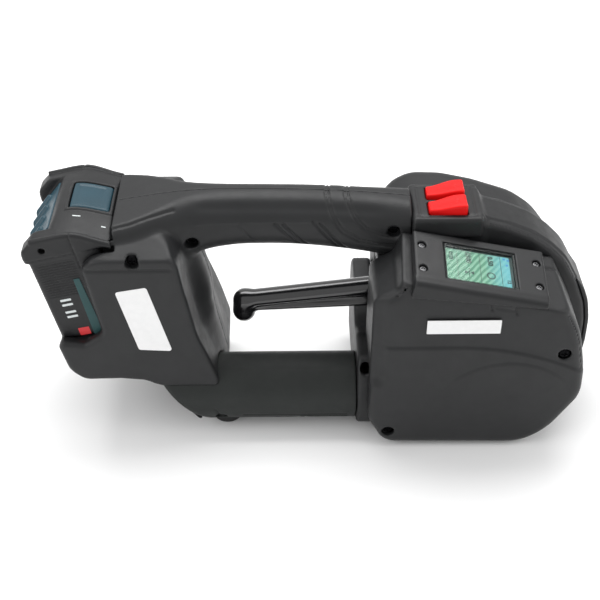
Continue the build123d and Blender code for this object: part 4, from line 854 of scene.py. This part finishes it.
def bezel_field(p):
    a, c, h = panel_frame(p)
    d = box_field(a, c, h, (-39, -20, -3.0), (39, 20, 3.0), 1.6)
    # the near edge rolls over into a soft lip
    d = soft_max(d, (h - 1.2) * 0.7 - (c + 18.6) * 0.71, 2.0)
    # a rolled lip runs down over the cover's near face, deeper towards the rear
    x, y, z = p.T
    lip = np.maximum(np.abs(y + 58.2) - 3.4, 112.2 - 0.115 * x - z)
    lip = soft_max(soft_max(lip, h - 2.6, 3.0), np.abs(a) - 38.8, 1.2)
    d = soft_min(d, lip, 1.5)
    hole = box_field(a, c, h, (-19.9, -12.5, -9), (19.9, 12.5, 9), 0.3)
    seat = box_field(a, c, h, (-21.4, -14.0, 1.8), (21.4, 14.0, 9), 0.6)
    under = box_field(a, c, h, (-22.4, -13, -9), (22.4, 13, 0.6), 0.2)
    d = cut(d, union(hole, seat, under), 0.35)
    # cups for the four panel screws
    for sx, sy in PANEL_SCREWS:
        d = cut(d, np.maximum(np.hypot(a - sx, c - sy) - 2.5, 1.0 - h), 0.4)
    return d


shell("bezel_skin", bezel_field, "panel_bezel", 0.55, PANEL, "frame", (0, 3, 12))


def place_on_panel(obj, along, across, above, turn=0.0):
    """Moves a flat object's mesh into the panel's plane."""
    basis = Matrix(np.column_stack([PANEL_U, PANEL_V, PANEL_N]).tolist()).to_4x4()
    origin = PANEL_O + PANEL_U * along + PANEL_V * across + PANEL_N * above
    shift = Matrix.Translation(Vector(origin * MM))
    obj.data.transform(shift @ basis @ Matrix.Rotation(turn, 4, "Z"))


def plate(name, outline, thick, material, edge=0.0):
    """A thin plate with the given outline, lying in XY with its back at z = 0."""
    pts = np.asarray(outline)
    bm = bmesh.new()
    face = bm.faces.new([bm.verts.new((x * MM, y * MM, 0)) for x, y in pts])
    if face.normal.z < 0:
        face.normal_flip()
    out = bmesh.ops.extrude_face_region(bm, geom=[face])
    for v in (e for e in out["geom"] if isinstance(e, bmesh.types.BMVert)):
        v.co.z += thick * MM
    bmesh.ops.recalc_face_normals(bm, faces=bm.faces)
    if edge:
        rim = [e for e in bm.edges if all(v.co.z > thick * MM / 2 for v in e.verts)]
        bmesh.ops.bevel(bm, geom=rim, offset=edge * MM, segments=2, affect="EDGES", profile=0.5)
    mesh = bpy.data.meshes.new(name)
    bm.to_mesh(mesh)
    bm.free()
    mesh.materials.append(material)
    return in_scene(name, mesh)


def rectangle(length, width, corner):
    a, b = length / 2, width / 2
    return round_corners([(-a, -b), (a, -b), (a, b), (-a, b)], corner)


def digits(name, text, size, material, thick=0.05):
    """Plain numbers as a mesh, centred, lying in XY."""
    data = bpy.data.curves.new(name, "FONT")
    data.body = text
    data.size = size * MM
    data.extrude = thick * MM
    data.offset = 0.035 * size * MM
    data.align_x = "CENTER"
    data.align_y = "CENTER"
    data.resolution_u = 4
    temp = in_scene(name + "_curve", data)
    bpy.context.view_layer.update()
    mesh = bpy.data.meshes.new_from_object(temp.evaluated_get(bpy.context.evaluated_depsgraph_get()))
    bpy.data.objects.remove(temp)
    bpy.data.curves.remove(data)
    mesh.materials.clear()
    mesh.materials.append(material)
    return in_scene(name, mesh)


def own(obj, body):
    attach(obj, body)
    return obj


FACE_Z = 0.72
MARK = 0.05


def on_screen(name, outline, material, along, across, above=FACE_Z, thick=MARK):
    """A flat piece of the display."""
    obj = plate(name, outline, thick, material)
    place_on_panel(obj, along, across, above)
    own(obj, "frame")


on_screen("screen_edge", rectangle(40.4, 25.4, 0.3), DARK_INK, 0, 0, FACE_Z - 0.12, 0.06)
on_screen("screen_picture", rectangle(37.6, 23.6, 0.2), SCREEN, -0.8, -0.5, FACE_Z - 0.06, 0.06)
for k, along in enumerate([-13.2, 0.2, 12.6]):
    on_screen(f"screen_rule_{k}", rectangle(0.28, 23.2, 0.05), DARK_INK, along, -0.5)
for k, (text, along, across, size) in enumerate([
        ("0125", -16.8, 6.0, 3.2), ("2500", -6.5, 6.5, 4.2), ("0.50", 6.5, 6.5, 4.2), ("12", 16.6, -7.5, 3.0)]):
    number = digits(f"screen_number_{k}", text, size, DARK_INK)
    place_on_panel(number, along, across, FACE_Z + MARK, math.radians(-90))
    own(number, "frame")
# a bar between two arrowheads
for k, shape in enumerate([rectangle(0.5, 7.0, 0.1), [(-2.6, 1.4), (-0.5, 0.0), (-2.6, -1.4)],
                           [(2.6, -1.4), (0.5, 0.0), (2.6, 1.4)]]):
    on_screen(f"tension_mark_{k}", shape, DARK_INK, -6.5, -5.0)
dial = np.array([(2.6 * math.cos(a), 2.6 * math.sin(a)) for a in np.linspace(0, 2 * math.pi, 25)[:-1]])
on_screen("time_mark", dial, DARK_INK, 6.3, -5.0)
on_screen("time_mark_heart", dial * 0.72, SCREEN, 6.3, -5.0, thick=0.07)
for k, (along, across) in enumerate([(15.0, 9.8), (17.4, 9.2), (16.4, 5.2)]):
    on_screen(f"screen_dot_{k}", rectangle(1.5, 1.5, 0.5), BLUE_INK, along, across)

# ---- Keys ----


def key_field(side):
    def field(p):
        x, y, z = p.T
        v = y - side * KEY_Y
        along = (x + 26.0) / 22.0
        half = 4.9 + 1.6 * ease(along * 1.5)
        top = 142.6 + 3.9 * ease(along * 1.15)
        d = box_field(x, v * 6.5 / half, z, (-26.0, -6.5, 132.0), (-4.0, 6.5, 150), 1.2)
        d = soft_max(d, (z - top) * 0.95, 1.5)
        # a finger dish on the crown
        dish = np.exp(-(((x + 14) / 7.5) ** 2) - ((v / 4.2) ** 2))
        d = d + 0.55 * dish * (z > 136)
        # two small raised dots to feel for
        for spot in (-1.6, 1.6):
            d = d - 0.35 * np.exp(-(((x + 9.5) ** 2 + (v - spot * side) ** 2) / 0.5)) * (z > 138)
        stem = extruded(np.hypot(x + 15, v) - 2.5, z, 126, 134, 0.2)
        return np.minimum(d, stem)
    return field


for side, node, body in ((-1, "tension_button", "tension_key"), (1, "weld_button", "weld_key")):
    shell(node + "_cap", key_field(side), node, 0.45, RED, body)

# ---- Lever ----

LEVER_WEB = Outline([(-44, 80), (-44, 67), (-60, 67), (-100, 66.5), (-128, 65), (-132, 69), (-100, 74),
                     (-60, 79)], 1.0)


def lever_field(p):
    x, y, z = p.T
    rail = capsule(p * np.array([1.0, 0.80, 1.0]), (-44, 0, 80.8), (-134.5, 0, 69.6), 5.3, 5.0)
    lower = capsule(p * np.array([1.0, 0.62, 1.0]), (-47, 0, 68.8), (-127, 0, 65.0), 3.0, 3.0)
    web = np.maximum(np.abs(y) - 2.4, LEVER_WEB(x, z))
    # the free end turns down into a blunt knob
    knob = capsule(p * np.array([1.0, 0.95, 1.0]), (-134.4, 0, 68.6), (-134.7, 0, 61.0), 6.9, 7.1)
    d = soft_min(rail, web, 1.2)
    d = soft_min(d, lower, 1.2)
    d = soft_min(d, knob, 3.0)
    axle = np.hypot(x - LEVER_AXLE[0], z - LEVER_AXLE[1])
    d = soft_min(d, extruded(axle - 7.0, y, -6.5, 6.5, 0.8), 2.0)
    return np.maximum(cut(d, axle - 3.06), np.abs(y) - 7.4)


shell("lever_skin", lever_field, "lever", 0.6, LEVER, "hand_lever", 1, 1)

# ---- Battery ----

BACK_T, FRONT_T, TOP_U, FOOT_U = -28.0, 14.0, 25.0, -47.0
CROWN = curve([-40, -12, -4, 2, 8, 14, 20, 26], [26.4, 26.9, 26.9, 26.2, 24.2, 21.4, 18.4, 15.4])
BAY_HALF, BAY_Y = 27.0, -0.5
REAR_X = -257.1
SLOPE_FOOT, SLOPE_DIR = (-31.0, 9.5), (0.790, 0.613)


def crown_height(t, y):
    """Height of the pack's arched top, which falls away towards the neck."""
    arch = 3.2 + 2.4 * ease((t - 2) / 18)
    return CROWN(t) - arch * (np.minimum(np.abs(y), 42) / 37.0) ** 2.2


def above_slope(t, u):
    """Distance above the slanting face at the rear of the top."""
    return (u - SLOPE_FOOT[1]) * SLOPE_DIR[0] - (t - SLOPE_FOOT[0]) * SLOPE_DIR[1]


def along_slope(t, u):
    """Distance up that face from its foot."""
    return (t - SLOPE_FOOT[0]) * SLOPE_DIR[0] + (u - SLOPE_FOOT[1]) * SLOPE_DIR[1]


def battery_field(p):
    x, y, z = p.T
    t, u = dock_frame(x, z)
    top = crown_height(t, y)
    main = box_field(t, y, u, (BACK_T, -PACK_HALF, FOOT_U), (FRONT_T, PACK_HALF, 16), 3.0)
    cap = box_field(t, y, u, (-30.4, -PACK_HALF, 9.5), (22.0, PACK_HALF, 40), 3.0)
    cap = np.maximum(cap, np.minimum(12.5 - u, t - 0.5))
    cap = soft_max(cap, (u - top) * 0.95, 2.0)
    # rear corners fall off towards the back edge
    cap = soft_max(cap, (-t - 23.5) * 0.60 + (u - 23.0) * 0.80, 1.5)
    d = soft_min(main + 0.35, cap, 0.8)
    # rolled bead along both rims of the top
    bead = np.hypot(np.abs(y) - 36.4, (u - top + 0.2) * 0.95) - 1.7
    d = soft_min(d, common(bead, t - 21.4, -22.5 - t), 0.5)
    # the slanting rear face between the corners
    d = cut(d, soft_max(-above_slope(t, u), np.abs(y - BAY_Y) - BAY_HALF, 1.0), 1.2)
    # hatched flank below the shoulder
    outer = ease(np.abs(y) - 35)
    hatch = 0.3 * np.sin(2 * math.pi * u / 1.7) * outer * ease((u + 17) / 2) * ease((9.5 - u) / 2)
    d = d + hatch * ease((t + 25) / 2) * ease((-0.5 - t) / 2)
    # upright seam and a fine line below the shoulder
    d = d + ridge(t - 0.5, 0.6, 0.45) * outer * ease((u - 0.5) / 1.5)
    d = d + ridge(u - 12.0, 0.5, 0.5) * (t < 0.5) * outer
    sled = box_field(t, y, u, (1.0, -PACK_HALF, -72.0), (FRONT_T, PACK_HALF, -20.0), 2.0)
    neck = box_field(t, y, u, (FRONT_T - 2, -20, -72.0), (FRONT_T + 3.7, 20, TOP_U - 12), 0.4)
    tongue = box_field(t, y, u, (FRONT_T + 3.6, -25, -72.0), (FRONT_T + 8.0, 25, TOP_U - 12), 0.5)
    d = union(d, sled, neck, tongue)
    for row in (-14.0, -5.0, 5.0, 14.0):
        d = cut(d, box_field(t, y, u, (FRONT_T + 4.0, row - 1.0, -90), (FRONT_T + 9.5, row + 1.0, -52), 0.2))
    # raised frame round the release key, and its well
    h = u - top
    collar = box_field(t, y, h, (-3.6, -14.4, -4), (21.6, 16.4, 0.9), 0.8)
    d = soft_min(d, collar, 0.6)
    well = box_field(t, y, h, (-2.0, -12.5, -6.8), (20.0, 14.5, 9), 1.6)
    d = cut(d, well, 0.4)
    # sunken seat for the ribbed insert
    d = cut(d, common(np.abs(y - BAY_Y) - 24.0, np.abs(above_slope(t, u)) - 1.2,
                      np.abs(along_slope(t, u) - 12.5) - 10.5))
    hole = np.maximum(np.hypot(t + 17.0, u - 17.5) - 2.0, y + 33.5)
    return soft_max(cut(d, hole, 0.4), REAR_X - x, 1.0)


shell("battery_skin", battery_field, "battery_case", 0.8, BATTERY, "battery")


def rib_bay_field(p):
    x, y, z = p.T
    t, u = dock_frame(x, z)
    over, along = above_slope(t, u), along_slope(t, u)
    d = box_field(along, y, over, (1.2, BAY_Y - 23.8, -1.1), (22.8, BAY_Y + 23.8, 0.5), 0.5)
    # four proud slanting bars that pass over the rear edge
    for k in range(4):
        middle = BAY_Y - 16.8 + 11.2 * k
        bar = capsule(np.stack([along, y, over], 1), (2.2, middle - 2.4, 0.4), (13.0, middle + 1.6, 0.2), 2.2)
        d = soft_min(d, bar, 0.8)
    return common(d, -1.15 - over, REAR_X - x)


bay_xs, bay_zs = zip(*[from_dock(t, u) for t in (-33, -7) for u in (6, 30)])
skin("battery_rib_bay", rib_bay_field, (min(bay_xs), -26, min(bay_zs)), (max(bay_xs), 26, max(bay_zs)), 0.5,
     TEAL, "battery")


def latch_field(p):
    x, y, z = p.T
    t, u = dock_frame(x, z)
    h = u - crown_height(t, y)
    d = box_field(t, y, h, (-1.5, -12.0, -3.0), (19.5, 14.0, 0.7), 1.6)
    dish = box_field(t, y, h, (1.0, -9.6, 0.15), (17.0, 11.6, 9), 2.0)
    return cut(d, dish, 0.8)


shell("latch_skin", latch_field, "battery_latch", 0.45, TEAL, "battery_release", 6, 4)


FLANK_Y = -37.65
DOWN_TURN = -math.pi / 2 + TILT


def on_side(name, outline, thick, material, t, u, edge=0.0):
    """A flat mark on the battery's near flank, turned to run down it."""
    obj = plate(name, outline, thick, material, edge)
    x, z = from_dock(t, u)
    basis = Matrix(((1, 0, 0), (0, 0, -1), (0, 1, 0))).to_4x4()
    shift = Matrix.Translation(Vector((x, FLANK_Y, z)) * MM)
    obj.data.transform(shift @ basis @ Matrix.Rotation(DOWN_TURN, 4, "Z"))
    own(obj, "battery")


on_side("flank_stripe", round_corners([(-20.5, -1.8), (20.5, -3.0), (20.5, 3.0), (-20.5, 1.8)], 0.6), 0.35,
        TEAL_LINE, -4.5, -25.5, 0.12)
# plain bars where the real pack carries lettering
for k, shift in enumerate([0.0, 3.4, 8.8, 12.2]):
    on_side(f"flank_bar_{k}", rectangle(1.5, 6.4, 0.3), 0.08, INK, -15.6, -18.4 - shift)
on_side("flank_red_block", rectangle(5.4, 6.6, 0.3), 0.1, RED_MARK, -12.4, -42.6)


def on_top(obj, t, y):
    """Moves a flat object onto the battery's sloping top."""
    rise = float(crown_height(np.array([t]), np.array([y]))[0])
    ahead = float(crown_height(np.array([t + 1.0]), np.array([y]))[0])
    lift = -TILT - math.atan(ahead - rise)
    x, z = from_dock(t, rise)
    obj.data.transform(Matrix.Translation(Vector((x, y, z)) * MM) @ Matrix.Rotation(lift, 4, "Y"))


for k, (t, y, length, width) in enumerate([(3.6, -20.0, 4.6, 0.9), (17.6, -25.0, 2.6, 1.0)]):
    gauge = plate(f"gauge_mark_{k}", rectangle(length, width, 0.3), 0.14, INK)
    on_top(gauge, t, y)
    own(gauge, "battery")

# ---- Labels, screws, nose cap ----

def face_near(obj, place):
    """Stands a flat object up to face the near side."""
    obj.data.transform(Matrix.Translation(Vector(place) * MM) @ Matrix.Rotation(math.pi / 2, 4, "X"))


cover_label = plate("cover_label_film", rectangle(42.0, 9.6, 0.5), 0.3, WHITE, 0.1)
face_near(cover_label, (-8.0, NEAR_Y + 1.45, 95.0))
own(cover_label, "frame")
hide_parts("cover_label")

label_corners = [(DOCK_X - 37.7, 109.7), (DOCK_X - 19.6, 113.0), (DOCK_X - 7.8, 66.0), (DOCK_X - 27.4, 67.2)]
dock_label = plate("dock_label_film", round_corners(label_corners, 1.6), 0.25, WHITE, 0.08)
face_near(dock_label, (0, -DOCK_HALF + 0.05, 0))
own(dock_label, "frame")
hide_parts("dock_label")


def screw_field(radius, depth):
    """A pan head with a cross recess; its crown faces +Z and its seat is z = 0."""
    def field(p):
        x, y, z = p.T
        r = np.hypot(x, y)
        d = extruded(r - radius, z, 0.0, depth, 0.3)
        crown = 2.2 * radius
        d = soft_max(d, np.linalg.norm(p - np.array([0, 0, depth - crown]), axis=1) - crown, 0.3)
        half, reach = 0.16 * radius, 0.62 * radius
        cross = np.minimum(np.maximum(np.abs(x) - half, np.abs(y) - reach),
                           np.maximum(np.abs(y) - half, np.abs(x) - reach))
        return cut(d, np.maximum(cross, depth * 0.35 - z))
    return field


def screw_mesh(radius, depth, step):
    return net(screw_field(radius, depth), (-radius, -radius, 0), (radius, radius, depth), step)


def place_screws(name, mesh, places, nodes, material=SCREW):
    """One object with a head at each place; a place is an origin and three axes."""
    verts, quads = mesh
    all_verts, all_faces = [], []
    for origin, u, v, w in places:
        start = sum(len(part) for part in all_verts)
        all_verts.append(np.array(origin) + verts @ np.array([u, v, w]))
        all_faces.append(quads + start)
    obj = mesh_object(name, np.concatenate(all_verts), np.concatenate(all_faces), material)
    own(obj, "frame")
    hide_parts(*nodes)


SIDE_AXES = ((1, 0, 0), (0, 0, 1), (0, -1, 0))
case_head = screw_mesh(3.1, 1.7, 0.3)
FAR_SIDE_AXES = ((-1, 0, 0), (0, 0, 1), (0, 1, 0))
tail_x, tail_y, tail_z = TAIL_SCREW
place_screws("case_screw_heads", case_head,
             [((x, y + HEAD_SINK, z), *SIDE_AXES) for x, y, z in CASE_SCREWS] +
             [((tail_x, tail_y - HEAD_SINK, tail_z), *FAR_SIDE_AXES)], ["handle_screws"])
place_screws("cover_screw_heads", case_head,
             [((x, y + HEAD_SINK, z), *SIDE_AXES) for x, y, z in COVER_SCREWS], ["cover_screws"])
place_screws("panel_screw_heads", screw_mesh(2.0, 1.3, 0.2),
             [(PANEL_O + PANEL_U * a + PANEL_V * c + PANEL_N, PANEL_U, PANEL_V, PANEL_N)
              for a, c in PANEL_SCREWS], ["panel_screws"], PANEL_SCREW)


def nose_field(p):
    x, y, z = p.T
    flat = SPINE_OUTLINE(x, z)
    d = extruded(flat - 1.8 * ease((93 - z) / 9), y, -14.0, 14.0, 1.2)
    d = soft_max(d, np.abs(z - 64.5) - 28.3, 1.0)
    # finger ribs across the lid
    d = d + ridge(np.abs(z - 62.0) - 14.0, 0.4, 0.6) * (np.abs(y) < 10)
    return common(d, -flat - 0.8, 62 - x)


shell("nose_cap_skin", nose_field, "nose_cap", 0.6, CASING, "frame", 12, 10)

# ---- Floor, lights and camera ----

floor_mesh = bpy.data.meshes.new("floor")
bm = bmesh.new()
bmesh.ops.create_grid(bm, x_segments=2, y_segments=2, size=6.0)
bm.to_mesh(floor_mesh)
bm.free()
floor = in_scene("floor", floor_mesh)
floor_shader = Shader("floor_paper")
floor_shade = floor_shader.mix(floor_shader.noise(3.0), (0.90, 0.90, 0.90), (0.92, 0.92, 0.92))
floor_shader.set("Base Color", floor_shade)
floor_shader.set("Roughness", 0.9)
floor_mesh.materials.append(floor_shader.material)

world = bpy.data.worlds.new("studio")
bpy.context.scene.world = world
world.use_nodes = True
world.node_tree.nodes["Background"].inputs["Color"].default_value = (1.0, 1.0, 1.0, 1)
world.node_tree.nodes["Background"].inputs["Strength"].default_value = 0.8
bpy.context.scene.view_settings.view_transform = "Standard"


def area_light(name, place, target, size, power):
    data = bpy.data.lights.new(name, "AREA")
    data.shape = "RECTANGLE"
    data.size, data.size_y = size
    data.energy = power
    obj = in_scene(name, data)
    obj.location = place
    obj.rotation_euler = (Vector(target) - Vector(place)).to_track_quat("-Z", "Y").to_euler()


MIDDLE = (-0.08, 0.0, 0.07)
area_light("top_light", (-0.1, 0.45, 1.2), MIDDLE, (1.4, 0.7), 15.0)
area_light("left_light", (-1.2, -0.6, 0.9), MIDDLE, (0.8, 0.8), 5.0)
area_light("right_light", (1.2, -0.3, 0.8), MIDDLE, (0.6, 0.9), 4.0)

camera_data = bpy.data.cameras.new("camera")
camera_data.sensor_width = 36.0
camera_data.lens = 68.64
camera_data.clip_end = 20.0
camera = in_scene("camera", camera_data)
camera.location = Vector((-107.8, -559.4, 505.2)) * MM
ELEVATION, AZIMUTH = math.radians(38.0), math.radians(-0.8)
level = math.cos(ELEVATION)
look = Vector((-math.sin(AZIMUTH) * level, math.cos(AZIMUTH) * level, -math.sin(ELEVATION)))
camera.rotation_euler = look.to_track_quat("-Z", "Y").to_euler()
bpy.context.scene.camera = camera
